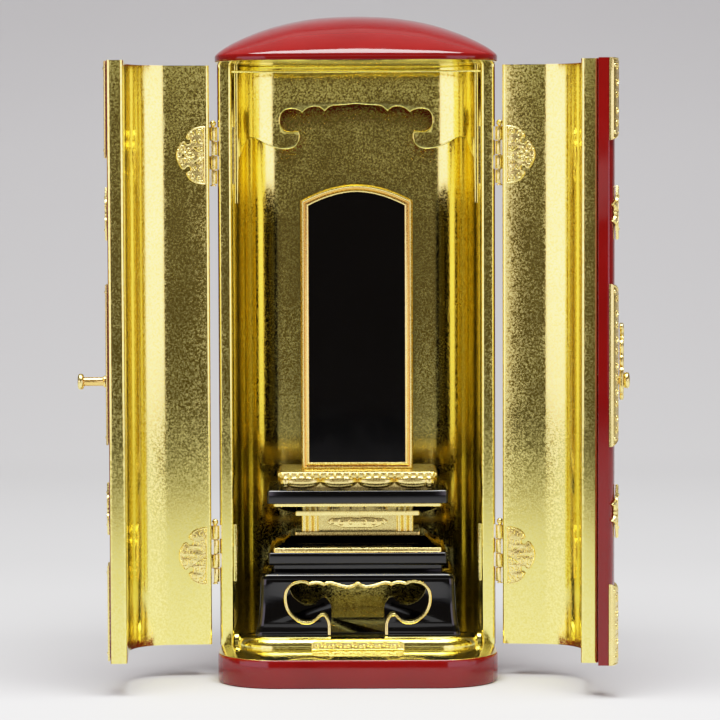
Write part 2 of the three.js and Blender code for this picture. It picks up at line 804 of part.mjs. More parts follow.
function buildFoot() {
  const block = steppedBlock([
    [floorTop, footWidth], [floorTop + 1.2, footWidth - 0.1], [floorTop + 4.5, footWidth - 1.6],
    [floorTop + 9, footWidth - 2.8], [floorTop + 15, footWidth - 3.5], [footTop - 3.5, footWidth - 4.0],
    [footTop - 1.6, footWidth - 4.6], [footTop - 0.6, footWidth - 5.6], [footTop, footWidth - 7.4],
  ], narrower, 3);
  const boardThick = 5;
  const taper = 2.2;
  const topThick = 3.4;
  const inside = footWidth / 2 - taper - boardThick;
  const insideDepth = inside - narrower / 2;
  const hollow = box(
    [-inside, -insideDepth, floorTop - past],
    [inside, insideDepth, footTop - topThick],
  );
  const through = stand(footOpeningShape(), -footWidth / 2, footWidth, 2);
  const foot = solid(block).subtract(solid(hollow)).subtract(solid(through));
  place(tablet, "tablet_foot", surface(foot), blackLacquer);
}

function buildTiers() {
  const lower = steppedBlock([
    [footTop, 69.5], [neckTop, 69.5], [neckTop, 72.2], [neckTop + 1.5, 73.4],
    [neckTop + 4.9, 73.4], [neckTop + 5.3, 72.6], [neckTop + 5.3, 69], [neckTop + 6.9, 69],
    [neckTop + 6.9, 68], [neckTop + 8.6, 61.5], [neckTop + 11.3, 55.5], [neckTop + 11.3, 51.5],
    [lowerTop, 51.5],
  ], narrower, 0.8);
  place(tablet, "tablet_lower_tiers", lower, blackLacquer);
  const upper = steppedBlock([
    [waistTop, 51.6], [waistTop + 1.5, 51.6], [waistTop + 1.5, 54], [waistTop + 2.6, 61],
    [waistTop + 4.7, 68.4], [waistTop + 4.7, 69.4], [waistTop + 5.9, 69.4], [waistTop + 5.9, 73.6],
    [waistTop + 6.3, 74.3], [waistTop + 11.1, 74.3], [upperTop, 73.6],
  ], narrower, 0.8);
  place(tablet, "tablet_upper_tiers", upper, blackLacquer);
}

// The gilt waist: a block with reeded corner pilasters and a low cloud on its front.
function buildWaist() {
  const width = 46.9;
  const depth = width - narrower;
  const core = 1.0;
  const coreX = width / 2 - core;
  const coreY = depth / 2 - core;
  const pieces = [box([-coreX, -coreY, lowerTop], [coreX, coreY, waistTop])];
  const reedRadius = 1.2;
  const reedPitch = 2.4;
  const reeds = 3;
  [-1, 1].forEach((side) => {
    for (let k = 0; k < reeds; k += 1) {
      const x = side * (width / 2 - reedRadius - 0.1 - k * reedPitch);
      [-1, 1].forEach((face) => {
        const reed = new THREE.CylinderGeometry(reedRadius, reedRadius, waistTop - lowerTop, 6);
        reed.rotateX(Math.PI / 2);
        reed.translate(x, face * (depth / 2 - reedRadius), (waistTop + lowerTop) / 2);
        pieces.push(reed);
      });
    }
  });
  const cloud = new THREE.Shape();
  const half = 12.6;
  const middle = (lowerTop + waistTop) / 2;
  cloud.moveTo(-half, middle + 0.6);
  cloud.quadraticCurveTo(-half + 1.0, middle + 2.0, -half + 4, middle + 1.9);
  cloud.quadraticCurveTo(-4, middle + 2.6, 0, middle + 2.0);
  cloud.quadraticCurveTo(4, middle + 2.6, half - 4, middle + 1.9);
  cloud.quadraticCurveTo(half - 1.0, middle + 2.0, half, middle + 0.6);
  cloud.quadraticCurveTo(half - 0.6, middle - 1.0, half - 3.4, middle - 1.0);
  cloud.quadraticCurveTo(half - 5, middle - 2.0, 4, middle - 2.0);
  cloud.lineTo(-4, middle - 2.0);
  cloud.quadraticCurveTo(5 - half, middle - 2.0, 3.4 - half, middle - 1.0);
  cloud.quadraticCurveTo(0.6 - half, middle - 1.0, -half, middle + 0.6);
  pieces.push(stand(cloud, -depth / 2 + 0.1, core + 0.6));
  place(tablet, "tablet_waist", join(pieces), gilt);
}

// The petal tier: a bead moulding over a row of rounded petals on every side.
function buildPetals() {
  const width = 66;
  const depth = width - narrower;
  const coreNarrower = 5;
  const slabNarrower = 1.6;
  const petalHeight = 4.6;
  const petalDeep = 3.4;
  const petalInset = 3.2;
  const cornerInset = 3.4;
  const slabFoot = upperTop + petalHeight;
  const pieces = [
    raise(
      roundedRectangle(width - coreNarrower, depth - coreNarrower, 1), upperTop, slabFoot + 0.6,
    ),
    raise(
      roundedRectangle(width - slabNarrower, depth - slabNarrower, 1.2), slabFoot, petalTop, 0.5,
    ),
  ];
  const lift = 0.9;
  const addPetal = (x, y, across, turned) => {
    const petal = new THREE.SphereGeometry(1, 6, 4);
    petal.rotateX(Math.PI / 2);
    petal.scale(across / 2, petalDeep, petalHeight / 2 + lift);
    if (turned) petal.rotateZ(Math.PI / 2);
    petal.translate(x, y, upperTop + petalHeight / 2 + lift);
    pieces.push(petal);
  };
  const rows = [
    { count: 4, span: width, edge: depth / 2 - petalInset, turned: false },
    { count: 3, span: depth, edge: width / 2 - petalInset, turned: true },
  ];
  rows.forEach(({ count, span, edge, turned }) => {
    const pitch = (span - coreNarrower) / count;
    for (let k = 0; k < count; k += 1) {
      const along = (k - (count - 1) / 2) * pitch;
      [-1, 1].forEach((side) => {
        if (turned) addPetal(side * edge, along, pitch * 1.04, true);
        else addPetal(along, side * edge, pitch * 1.04, false);
      });
    }
  });
  [-1, 1].forEach((sideX) => {
    [-1, 1].forEach((sideY) => {
      addPetal(sideX * (width / 2 - cornerInset), sideY * (depth / 2 - cornerInset), 5.4, false);
    });
  });
  const whole = pieces.map(solid).reduce((body, next) => body.add(next));
  const below = box([-width, -width, upperTop - 5], [width, width, upperTop]);
  place(tablet, "tablet_petals", surface(whole.subtract(solid(below))), gilt);
}

// The board: an arched slab with a raised moulding round its blank panel.
function archedOutline(inset) {
  const half = 23.15 - inset;
  const foot = petalTop + inset * 0.9;
  const shoulder = boardTop - 6.6 - inset * 0.7;
  const apex = boardTop - inset;
  const outline = new THREE.Shape();
  outline.moveTo(-half, foot);
  outline.lineTo(half, foot);
  outline.lineTo(half, shoulder);
  outline.quadraticCurveTo(half * 0.48, apex - 0.2, 0, apex);
  outline.quadraticCurveTo(-half * 0.48, apex - 0.2, -half, shoulder);
  return outline;
}

function buildBoard() {
  const thick = 12;
  const frame = 3.3;
  const mouldings = [[0, 0.9], [0.8, 0], [2.4, 0.5]];
  let board = solid(stand(archedOutline(0), -thick / 2 + 0.9, thick - 0.9, 8));
  mouldings.forEach(([inset, drop]) => {
    board = board.add(solid(stand(archedOutline(inset), -thick / 2 + drop, thick / 2, 8)));
  });
  const panel = stand(archedOutline(frame), -thick, thick / 2 + 1.2, 8);
  place(tablet, "tablet_board", surface(board.subtract(solid(panel))), blackLacquer);
}

buildCase();
buildFrontOrnament();
buildValance();
buildDoor("left", leftOpening);
buildDoor("right", rightOpening);
buildFoot();
buildTiers();
buildWaist();
buildPetals();
buildBoard();
cabinet.add(tablet);

export default cabinet;
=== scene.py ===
import json
import math
import bmesh
import bpy
from mathutils import Matrix, Vector


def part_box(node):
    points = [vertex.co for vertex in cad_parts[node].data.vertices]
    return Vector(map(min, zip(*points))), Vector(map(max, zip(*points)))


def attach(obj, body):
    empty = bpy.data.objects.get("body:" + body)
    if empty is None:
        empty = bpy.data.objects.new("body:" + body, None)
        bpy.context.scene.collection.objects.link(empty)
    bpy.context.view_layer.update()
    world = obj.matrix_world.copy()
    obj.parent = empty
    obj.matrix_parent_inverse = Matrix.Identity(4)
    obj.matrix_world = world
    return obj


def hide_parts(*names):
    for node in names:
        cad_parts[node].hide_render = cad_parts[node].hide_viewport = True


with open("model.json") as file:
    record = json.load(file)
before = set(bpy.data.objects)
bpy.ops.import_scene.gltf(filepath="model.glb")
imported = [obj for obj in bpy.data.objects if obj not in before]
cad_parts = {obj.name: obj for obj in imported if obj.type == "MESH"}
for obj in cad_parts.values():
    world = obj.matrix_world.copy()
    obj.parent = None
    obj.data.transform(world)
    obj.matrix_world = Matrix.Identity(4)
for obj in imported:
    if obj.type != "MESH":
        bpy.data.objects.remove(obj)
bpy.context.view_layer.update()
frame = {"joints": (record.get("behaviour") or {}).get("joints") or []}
mm = 0.001
quarterTurn = math.pi / 2


def deselectAll():
    if bpy.context.object and bpy.context.object.mode != "OBJECT":
        bpy.ops.object.mode_set(mode="OBJECT")
    bpy.ops.object.select_all(action="DESELECT")


def choose(obj):
    deselectAll()
    obj.select_set(True)
    bpy.context.view_layer.objects.active = obj
    return obj


def applyPlace(obj):
    choose(obj)
    bpy.ops.object.transform_apply(location=True, rotation=True, scale=True)
    return obj


def applied(obj, kind, **values):
    choose(obj)
    modifier = obj.modifiers.new("work", kind)
    for name, value in values.items():
        setattr(modifier, name, value)
    bpy.ops.object.modifier_apply(modifier=modifier.name)
    return obj


def startEdit(obj):
    choose(obj)
    bpy.ops.object.mode_set(mode="EDIT")
    bpy.ops.mesh.select_all(action="SELECT")


def leaveEdit():
    bpy.ops.object.mode_set(mode="OBJECT")


def pick(obj, kind, test):
    # selects faces by test(centre, normal), or edges by test(one end, other end), in mm
    startEdit(obj)
    bpy.ops.mesh.select_mode(type=kind)
    bpy.ops.mesh.select_all(action="DESELECT")
    mesh = bmesh.from_edit_mesh(obj.data)
    if kind == "FACE":
        for face in mesh.faces:
            face.select_set(test(face.calc_center_median() / mm, face.normal))
    else:
        for edge in mesh.edges:
            edge.select_set(test(edge.verts[0].co / mm, edge.verts[1].co / mm))
    bmesh.update_edit_mesh(obj.data)


def extrude(run):
    bpy.ops.mesh.extrude_region_move(TRANSFORM_OT_translate={"value": run})


def bevelEdges(obj, test, width, segments=4):
    pick(obj, "EDGE", test)
    bpy.ops.mesh.bevel(offset=width * mm, segments=segments, affect="EDGES")
    leaveEdit()
    return obj


def deleteFaces(obj, test):
    pick(obj, "FACE", test)
    bpy.ops.mesh.delete(type="FACE")
    leaveEdit()
    return obj


def paintFaces(obj, slotIndex, test):
    pick(obj, "FACE", test)
    obj.active_material_index = slotIndex
    bpy.ops.object.material_slot_assign()
    leaveEdit()
    return obj


def weld(obj):
    startEdit(obj)
    bpy.ops.mesh.remove_doubles(threshold=0.00001)
    bpy.ops.mesh.normals_make_consistent(inside=False)
    leaveEdit()
    return obj


def smooth(obj, degrees=35):
    choose(obj)
    bpy.ops.object.shade_smooth_by_angle(angle=math.radians(degrees))
    return obj


def block(name, low, high):
    deselectAll()
    middle = [(a + b) / 2 * mm for a, b in zip(low, high)]
    bpy.ops.mesh.primitive_cube_add(size=1, location=middle)
    obj = bpy.context.object
    obj.name = name
    obj.scale = [(b - a) * mm for a, b in zip(low, high)]
    return applyPlace(obj)


def joined(name, objects):
    deselectAll()
    for obj in objects:
        obj.select_set(True)
    bpy.context.view_layer.objects.active = objects[0]
    if len(objects) > 1:
        bpy.ops.object.join()
    obj = bpy.context.object
    obj.name = name
    return obj


def copied(obj, name):
    choose(obj)
    bpy.ops.object.duplicate()
    twin = bpy.context.object
    twin.name = name
    return twin


def removed(obj):
    choose(obj)
    bpy.ops.object.delete()


def cut(obj, cutter, operation="DIFFERENCE"):
    applied(obj, "BOOLEAN", object=cutter, operation=operation, solver="EXACT")
    removed(cutter)
    return obj


def flipAcross(obj):
    # turns a piece into the one for the other side
    obj.scale.x = -1
    applyPlace(obj)
    startEdit(obj)
    bpy.ops.mesh.flip_normals()
    leaveEdit()
    return obj


def moved(obj, offset=(0, 0, 0), turn=(0, 0, 0)):
    obj.location = [value * mm for value in offset]
    obj.rotation_euler = turn
    return applyPlace(obj)


def vertical(a, b):
    return abs(a.x - b.x) < 0.01 and abs(a.y - b.y) < 0.01


def turned(name, profile, segments=32):
    # a lathe piece on the Z axis, from [radius, height] rows; it starts and ends in a flat disc
    deselectAll()
    radius, height = profile[0]
    bpy.ops.mesh.primitive_circle_add(vertices=segments, radius=radius * mm, fill_type="NGON",
                                      location=(0, 0, height * mm))
    obj = applyPlace(bpy.context.object)
    obj.name = name
    startEdit(obj)
    for nextRadius, nextHeight in profile[1:]:
        extrude((0, 0, (nextHeight - height) * mm))
        factor = nextRadius / radius
        bpy.ops.transform.resize(value=(factor, factor, 1), center_override=(0, 0, 0))
        radius, height = nextRadius, nextHeight
    leaveEdit()
    return weld(obj)


def fromCurve(name, curve):
    obj = bpy.data.objects.new(name, curve)
    bpy.context.scene.collection.objects.link(obj)
    choose(obj)
    bpy.ops.object.convert(target="MESH")
    return bpy.context.object


def outlineMesh(name, outline, thick, soften=0.0, holes=(), resolution=8, bevelSteps=2):
    # a flat plate from rows of [x, z] or [bendX, bendZ, x, z]; its front faces -Y at y = -thick / 2
    curve = bpy.data.curves.new(name, "CURVE")
    curve.dimensions = "2D"
    curve.fill_mode = "BOTH"
    curve.resolution_u = resolution
    curve.extrude = (thick / 2 - soften) * mm
    curve.bevel_depth = soften * mm
    curve.bevel_resolution = bevelSteps
    curve.offset = -soften * mm
    addSpline(curve, outline)
    for x, z, radius in holes:
        addSpline(curve, arcRows(x, z, radius, 0, 360, 8))
    obj = fromCurve(name, curve)
    obj.rotation_euler.x = quarterTurn
    return weld(applyPlace(obj))


def addSpline(curve, outline):
    spline = curve.splines.new("BEZIER")
    spline.bezier_points.add(len(outline) - 1)
    spline.use_cyclic_u = True
    points = spline.bezier_points
    ends = [Vector((row[-2], row[-1], 0)) * mm for row in outline]
    for point, end in zip(points, ends):
        point.handle_left_type = "FREE"
        point.handle_right_type = "FREE"
        point.co = end
    for index, row in enumerate(outline):
        before = ends[index - 1]
        here = ends[index]
        bend = Vector((row[0], row[1], 0)) * mm if len(row) == 4 else (before + here) / 2
        points[index - 1].handle_right = before + (bend - before) * 2 / 3
        points[index].handle_left = here + (bend - here) * 2 / 3


def arcRows(x, z, radius, fromDegrees, toDegrees, parts):
    # an arc as outline rows
    rows = []
    step = math.radians(toDegrees - fromDegrees) / parts
    reach = radius / math.cos(step / 2)
    for k in range(parts):
        angle = math.radians(fromDegrees) + step * k
        rows.append([x + reach * math.cos(angle + step / 2), z + reach * math.sin(angle + step / 2),
                     x + radius * math.cos(angle + step), z + radius * math.sin(angle + step)])
    return rows


def wire(name, lines, thickness, flat=0.6, steps=3, closed=False):
    # raised lines from lists of [x, y, z, width share], pressed flat along Y
    curve = bpy.data.curves.new(name, "CURVE")
    curve.dimensions = "3D"
    curve.bevel_depth = thickness * mm
    curve.bevel_resolution = steps
    curve.use_fill_caps = True
    for line in lines:
        spline = curve.splines.new("POLY")
        spline.points.add(len(line) - 1)
        spline.use_cyclic_u = closed
        for point, (x, y, z, share) in zip(spline.points, line):
            point.co = (x * mm, y * mm / flat, z * mm, 1)
            point.radius = share
    obj = fromCurve(name, curve)
    obj.scale.y = flat
    return weld(applyPlace(obj))


def rimWire(outline, inset, front, thickness, flat):
    # a raised line just inside a plate's edge
    return wire("rim", [rimRoute(outline, inset, front, 5)], thickness, flat, 1, closed=True)


def scroll(x, z, size, start, turns, hand=1, y=0.0, steps=18):
    # a spiral that winds inwards from its rim and thins on the way
    line = []
    for step in range(steps + 1):
        share = step / steps
        angle = math.radians(start + hand * 360 * turns * share)
        radius = size * (1 - 0.86 * share ** 0.8)
        line.append([x + radius * math.cos(angle), y, z + radius * math.sin(angle), 1 - 0.35 * share])
    return line


def nailHeads(places, front, radius, height, segments):
    # domed nail heads, each [x, z], standing on a plate's front
    nail = turned("nail", [[radius, 0], [radius * 0.97, height * 0.35], [radius * 0.8, height * 0.7],
                           [radius * 0.5, height * 0.92], [radius * 0.12, height]], segments)
    moved(nail, turn=(quarterTurn, 0, 0))
    heads = [moved(copied(nail, "nail"), (x, front, z)) for x, z in places]
    removed(nail)
    return heads


def newGroup(name, inputs, outputs):
    group = bpy.data.node_groups.new(name, "ShaderNodeTree")
    for socketName, kind, value in inputs:
        socket = group.interface.new_socket(name=socketName, in_out="INPUT", socket_type=kind)
        socket.default_value = value
    for socketName, kind in outputs:
        group.interface.new_socket(name=socketName, in_out="OUTPUT", socket_type=kind)
    entry = group.nodes.new("NodeGroupInput")
    leave = group.nodes.new("NodeGroupOutput")
    return group, entry, leave


def node(tree, kind, **values):
    # a new node, with its settings and sockets filled in by name
    made = tree.nodes.new(kind)
    for name, value in values.items():
        if name in made.bl_rna.properties:
            setattr(made, name, value)
        else:
            made.inputs[name.replace("_", " ")].default_value = value
    return made


def noise(tree, place, size, detail=3.0, roughness=0.55, distortion=0.0):
    made = node(tree, "ShaderNodeTexNoise", Scale=1 / (size * mm), Detail=detail,
                Roughness=roughness, Distortion=distortion)
    tree.links.new(place, made.inputs["Vector"])
    return made.outputs["Fac"]


def spread(tree, value, low, high, fromLow=0.3, fromHigh=0.7):
    # brings a value from one range into another, and holds it there
    made = node(tree, "ShaderNodeMapRange", From_Min=fromLow, From_Max=fromHigh, To_Min=low, To_Max=high)
    tree.links.new(value, made.inputs["Value"])
    return made.outputs["Result"]


def arithmetic(tree, operation, first, second):
    made = node(tree, "ShaderNodeMath", operation=operation)
    for socket, value in zip(made.inputs, (first, second)):
        if isinstance(value, (int, float)):
            socket.default_value = value
        else:
            tree.links.new(value, socket)
    return made.outputs[0]


def mixed(tree, share, first, second):
    # a colour between two others
    made = node(tree, "ShaderNodeMix", data_type="RGBA")
    made.inputs[6].default_value = (*first, 1)
    made.inputs[7].default_value = (*second, 1)
    tree.links.new(share, made.inputs[0])
    return made.outputs[2]


leafPattern = {
    "speckle": (0.8, 2, 0.6, 0.2), "cloud": (16, 2, 0.5), "crinkle": (1.6, 2, 0.5, 0.6), "crinkleShare": 0.7,
}


def buildLeafGroup():
    # gold leaf laid by hand: fine mottling, faint clouds and small crinkles
    group, entry, leave = newGroup(
        "leafMottle",
        [("Position", "NodeSocketVector", (0, 0, 0))],
        [("Speckle", "NodeSocketFloat"), ("Cloud", "NodeSocketFloat"), ("Height", "NodeSocketFloat")],
    )
    place = entry.outputs["Position"]
    speckle = noise(group, place, *leafPattern["speckle"])
    cloud = noise(group, place, *leafPattern["cloud"])
    crinkle = noise(group, place, *leafPattern["crinkle"])
    share = arithmetic(group, "MULTIPLY", crinkle, leafPattern["crinkleShare"])
    height = arithmetic(group, "ADD", speckle, share)
    for name, value in (("Speckle", speckle), ("Cloud", cloud), ("Height", height)):
        group.links.new(value, leave.inputs[name])
    return group


def newMaterial(name):
    material = bpy.data.materials.new(name)
    material.use_nodes = True
    tree = material.node_tree
    shader = tree.nodes["Principled BSDF"]
    position = node(tree, "ShaderNodeTexCoord").outputs["Object"]
    return material, tree, shader, position


def addBump(tree, shader, height, distance):
    bump = node(tree, "ShaderNodeBump", Distance=distance * mm, Strength=1)
    tree.links.new(height, bump.inputs["Height"])
    tree.links.new(bump.outputs["Normal"], shader.inputs["Normal"])


goldLeafLook = {
    "light": (1.0, 0.89, 0.27), "deep": (0.83, 0.69, 0.16), "smoothest": 0.05, "roughest": 0.27,
    "bump": 0.006, "tone": (0.38, 0.6), "rub": (0.35, 0.65),
}


def goldLeafMaterial():
    material, tree, shader, position = newMaterial("goldLeaf")
    look = goldLeafLook
    leaf = node(tree, "ShaderNodeGroup")
    leaf.node_tree = leafMottle
    tree.links.new(position, leaf.inputs["Position"])
    tone = spread(tree, leaf.outputs["Speckle"], 0, 1, *look["tone"])
    tree.links.new(mixed(tree, tone, look["deep"], look["light"]), shader.inputs["Base Color"])
    rub = arithmetic(tree, "MULTIPLY", spread(tree, leaf.outputs["Speckle"], 0.1, 1, *look["rub"]),
                     spread(tree, leaf.outputs["Cloud"], 0.6, 1))
    dullness = spread(tree, rub, look["smoothest"], look["roughest"], 0, 1)
    tree.links.new(dullness, shader.inputs["Roughness"])
    shader.inputs["Metallic"].default_value = 1
    addBump(tree, shader, leaf.outputs["Height"], look["bump"])
    return material


# gilt brass: deep is the painted shade colour of the hollows, which random patches also lean towards a
# little; hollow is the pointiness range over which that painted shade fades
giltLook = {
    "light": (1.0, 0.82, 0.29), "deep": (0.80, 0.40, 0.08), "roughness": (0.19, 0.32), "grain": 0.5,
    "patch": 4, "hollow": (0.44, 0.52), "bump": 0.01,
}


def giltMaterialWithPaintedShade():
    # gilt brass with shade painted into its hollows: low pointiness takes the deep colour, and random patches
    # lean a little towards it
    material, tree, shader, position = newMaterial("giltBrass")
    look = giltLook
    grain = noise(tree, position, look["grain"], 2)
    patch = noise(tree, position, look["patch"], 2)
    # painted shade: where pointiness is low, in hollows and gaps, the colour turns deep
    pointed = node(tree, "ShaderNodeNewGeometry").outputs["Pointiness"]
    hollow = spread(tree, pointed, 0, 1, *look["hollow"])
    tone = arithmetic(tree, "MULTIPLY", hollow, spread(tree, patch, 0.8, 1.0))
    tree.links.new(mixed(tree, tone, look["deep"], look["light"]), shader.inputs["Base Color"])
    tree.links.new(spread(tree, grain, *look["roughness"]), shader.inputs["Roughness"])
    shader.inputs["Metallic"].default_value = 1
    addBump(tree, shader, grain, look["bump"])
    return material


redLook = {
    "deep": (0.14, 0.002, 0.0015), "light": (0.18, 0.003, 0.0025), "cloud": 30, "wave": 9,
    "roughness": (0.05, 0.13), "shine": 0.4, "coat": 0, "bump": 0.02,
}


blackLook = {
    "deep": (0.0003, 0.0003, 0.0004), "light": (0.0008, 0.0008, 0.001), "cloud": 20, "wave": 8,
    "roughness": (0.04, 0.09), "shine": 0.45, "coat": 0.1, "bump": 0.008,
}


def lacquerMaterial(name, look):
    material, tree, shader, position = newMaterial(name)
    depth = spread(tree, noise(tree, position, look["cloud"], 3), 0, 1)
    tree.links.new(mixed(tree, depth, look["deep"], look["light"]), shader.inputs["Base Color"])
    wave = noise(tree, position, look["wave"], 1)
    tree.links.new(spread(tree, wave, *look["roughness"]), shader.inputs["Roughness"])
    shader.inputs["Specular IOR Level"].default_value = look["shine"]
    shader.inputs["Coat Weight"].default_value = look["coat"]
    addBump(tree, shader, wave, look["bump"])
    return material


leafMottle = buildLeafGroup()
goldLeaf = goldLeafMaterial()
giltBrass = giltMaterialWithPaintedShade()
redLacquer = lacquerMaterial("redLacquer", redLook)
blackLacquer = lacquerMaterial("blackLacquer", blackLook)


def dress(obj, *materials):
    obj.data.materials.clear()
    for material in materials:
        obj.data.materials.append(material)
    return obj


def hang(obj, body, slotName, *nodes):
    # the finished piece takes its body and the solids it stands for, which are hidden
    applyPlace(obj)
    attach(obj, body)
    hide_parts(*nodes)
    return obj


print("finishes mixed")


def boxOf(name):
    low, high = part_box(name)
    return low / mm, high / mm


plinthLow, plinthHigh = boxOf("plinth")
shellLow, shellHigh = boxOf("cabinet_shell")
floorLow, floorHigh = boxOf("raised_floor")
roofLow, roofHigh = boxOf("roof")
halfWidth = plinthHigh.x
halfDepth = plinthHigh.y
jambY = shellLow.y
ceiling = roofLow.z
case = {
    "corner": 24.2, "wall": 5.8, "edge": 1.2,
    # the doors: board, edge behind the hinge axis, half the gap between them, step back from the base's front
    "doorThick": 6.6, "doorEdge": 1.5, "meeting": 0.3, "doorGap": 0.4,
}
innerHalf = halfWidth - case["wall"]
floorTop = floorHigh.z
joints = {joint["name"]: joint for joint in frame["joints"]}
hingeX, hingeY, doorMiddle = [value / mm for value in joints["right_door_hinge"]["pos_m"]]
doorReach = hingeY + halfDepth - case["doorGap"]
doorFoot, doorHead = 13.2, 249.3
opening = {"left": math.radians(87), "right": math.radians(84)}
signs = {"left": -1, "right": 1}


def hangOnDoor(obj, side, slotName, solidName, body=None):
    # door pieces are drawn shut, about the right door's hinge, and turned to where the door stands
    if side == "left":
        flipAcross(obj)
    sign = signs[side]
    moved(obj, (sign * hingeX, hingeY, 0), (0, 0, sign * opening[side]))
    return hang(obj, body or f"{side}_door", slotName, solidName)


def bentBoard(name, low, high, opened, corners, thick, ends):
    # one board bent round its corners, red outside, gold inside and along its edges
    obj = block(name, low, high)
    deleteFaces(obj, lambda centre, normal: abs(normal.z) > 0.5 or opened(normal))
    bevelEdges(obj, lambda a, b: vertical(a, b) and corners(a), case["corner"], 32)
    dress(obj, redLacquer, goldLeaf)
    applied(obj, "SOLIDIFY", thickness=thick * mm, offset=-1, material_offset=1, material_offset_rim=1)
    return bevelEdges(obj, lambda a, b: vertical(a, b) and ends(a), case["edge"], 4)


plinth = {"round": 0.9}


def buildPlinth():
    obj = block("plinthBoard", plinthLow, plinthHigh)
    bevelEdges(obj, vertical, case["corner"], 28)
    for height in (plinthLow.z, plinthHigh.z):
        bevelEdges(obj, lambda a, b: max(abs(a.z - height), abs(b.z - height)) < 0.01, plinth["round"], 3)
    dress(obj, redLacquer, goldLeaf)
    paintFaces(obj, 1, lambda centre, normal: normal.z > 0.95)
    smooth(obj)
    return hang(obj, "cabinet", "red_lacquer", "plinth")


def buildShell():
    obj = bentBoard("caseBoard", shellLow, shellHigh, lambda normal: normal.y < -0.5, lambda a: a.y > 0,
                    case["wall"], lambda a: a.y < jambY + 0.1)
    smooth(obj)
    return hang(obj, "cabinet", "gold_leaf", "cabinet_shell")


floor = {"wallGap": 0.3, "tongueGap": 1.6, "lap": 5, "noseGap": 0.5, "round": 4.4}


def buildFloor():
    # the floor between the walls, with a rounded tongue that runs out in front of the jambs
    wide = innerHalf - floor["wallGap"]
    tongue = innerHalf - floor["tongueGap"]
    back = block("floorBoard", (-wide, jambY, floorLow.z), (wide, floorHigh.y, floorTop))
    bevelEdges(back, lambda a, b: vertical(a, b) and a.y > 0, case["corner"] - case["wall"], 20)
    front = block("tongue", (-tongue, floorLow.y, floorLow.z), (tongue, jambY + floor["lap"], floorTop))
    nose = jambY - floorLow.y - floor["noseGap"]
    bevelEdges(front, lambda a, b: vertical(a, b) and a.y < jambY, nose, 20)
    cut(back, front, "UNION")
    frontEdge = lambda a, b: min(a.z, b.z) > floorTop - 0.01 and max(a.y, b.y) < jambY + 0.1
    bevelEdges(back, frontEdge, floor["round"], 12)
    smooth(dress(back, goldLeaf))
    return hang(back, "cabinet", "gold_leaf", "raised_floor")


lintel = {"round": 0.3}


def buildLintel():
    obj = block("lintelRail", *boxOf("lintel"))
    bevelEdges(obj, lambda a, b: True, lintel["round"], 3)
    smooth(dress(obj, goldLeaf))
    return hang(obj, "cabinet", "gold_leaf", "lintel")


def numbered(obj, test):
    # selects a face, numbers its corners and returns their places, in mm
    pick(obj, "FACE", test)
    mesh = bmesh.from_edit_mesh(obj.data)
    order = mesh.verts.layers.int.new("order")
    places = []
    for vert in mesh.verts:
        if vert.select:
            vert[order] = len(places)
            places.append(vert.co / mm)
    return places


def nextRing(obj, placeOf):
    # extrudes the selected face and sets each new corner at placeOf(its number), in mm
    extrude((0, 0, 0.1 * mm))
    mesh = bmesh.from_edit_mesh(obj.data)
    order = mesh.verts.layers.int["order"]
    for vert in mesh.verts:
        if vert.select:
            vert.co = placeOf(vert[order]) * mm
    bmesh.update_edit_mesh(obj.data)


roof = {"rim": 2.4, "rings": 40, "soften": 0.5, "cuts": 15, "fall": 2.3, "swell": 0.75}


def domePoint(point, share, rimTop, rise):
    # the rim's outline shrinks towards the crown and turns from a rounded rectangle to an oval
    oval = Vector((point.x / halfWidth, point.y / halfDepth)).normalized()
    mix = share ** 2
    x = (point.x * mix + oval.x * halfWidth * (1 - mix)) * share
    y = (point.y * mix + oval.y * halfDepth * (1 - mix)) * share
    return Vector((x, y, rimTop + rise * max(0, 1 - share ** roof["fall"]) ** roof["swell"]))


def buildRoof():
    rimTop = ceiling + roof["rim"]
    rise = roofHigh.z - rimTop
    obj = block("domedLid", (plinthLow.x, plinthLow.y, ceiling), (plinthHigh.x, plinthHigh.y, rimTop))
    bevelEdges(obj, vertical, case["corner"], 24)
    pick(obj, "EDGE", lambda a, b: abs(a.z - b.z) < 0.01 and (a - b).length > 20)
    bpy.ops.mesh.subdivide(number_cuts=roof["cuts"])
    leaveEdit()
    plan = numbered(obj, lambda centre, normal: normal.z > 0.9)
    for ring in range(1, roof["rings"] + 1):
        share = math.cos(quarterTurn * ring / (roof["rings"] + 1))
        nextRing(obj, lambda number: domePoint(plan[number], share, rimTop, rise))
    leaveEdit()
    weld(obj)
    bevelEdges(obj, lambda a, b: max(a.z, b.z) < ceiling + 0.01, roof["soften"], 3)
    dress(obj, redLacquer, goldLeaf)
    paintFaces(obj, 1, lambda centre, normal: normal.z < -0.95)
    smooth(obj, 30)
    return hang(obj, "cabinet", "red_lacquer", "roof")


buildPlinth()
buildShell()
buildFloor()
buildLintel()
buildRoof()
print("case built")


def buildDoorBoard(side):
    free = case["meeting"] - hingeX
    edge = -case["doorEdge"]
    obj = bentBoard(f"{side}DoorBoard", (free, -doorReach, doorFoot), (halfWidth - hingeX, edge, doorHead),
                    lambda normal: normal.y > 0.5 or normal.x < -0.5,
                    lambda a: a.x > free + 1 and a.y < 1 - doorReach,
                    case["doorThick"], lambda a: a.x < free + 0.1 or a.y > edge - 0.1)
    paintFaces(obj, 0, lambda centre, normal: abs(normal.z) > 0.9)
    smooth(obj)
    return hangOnDoor(obj, side, "gold_leaf", f"{side}_door")


for side in ("left", "right"):
    buildDoorBoard(side)
print("doors built")

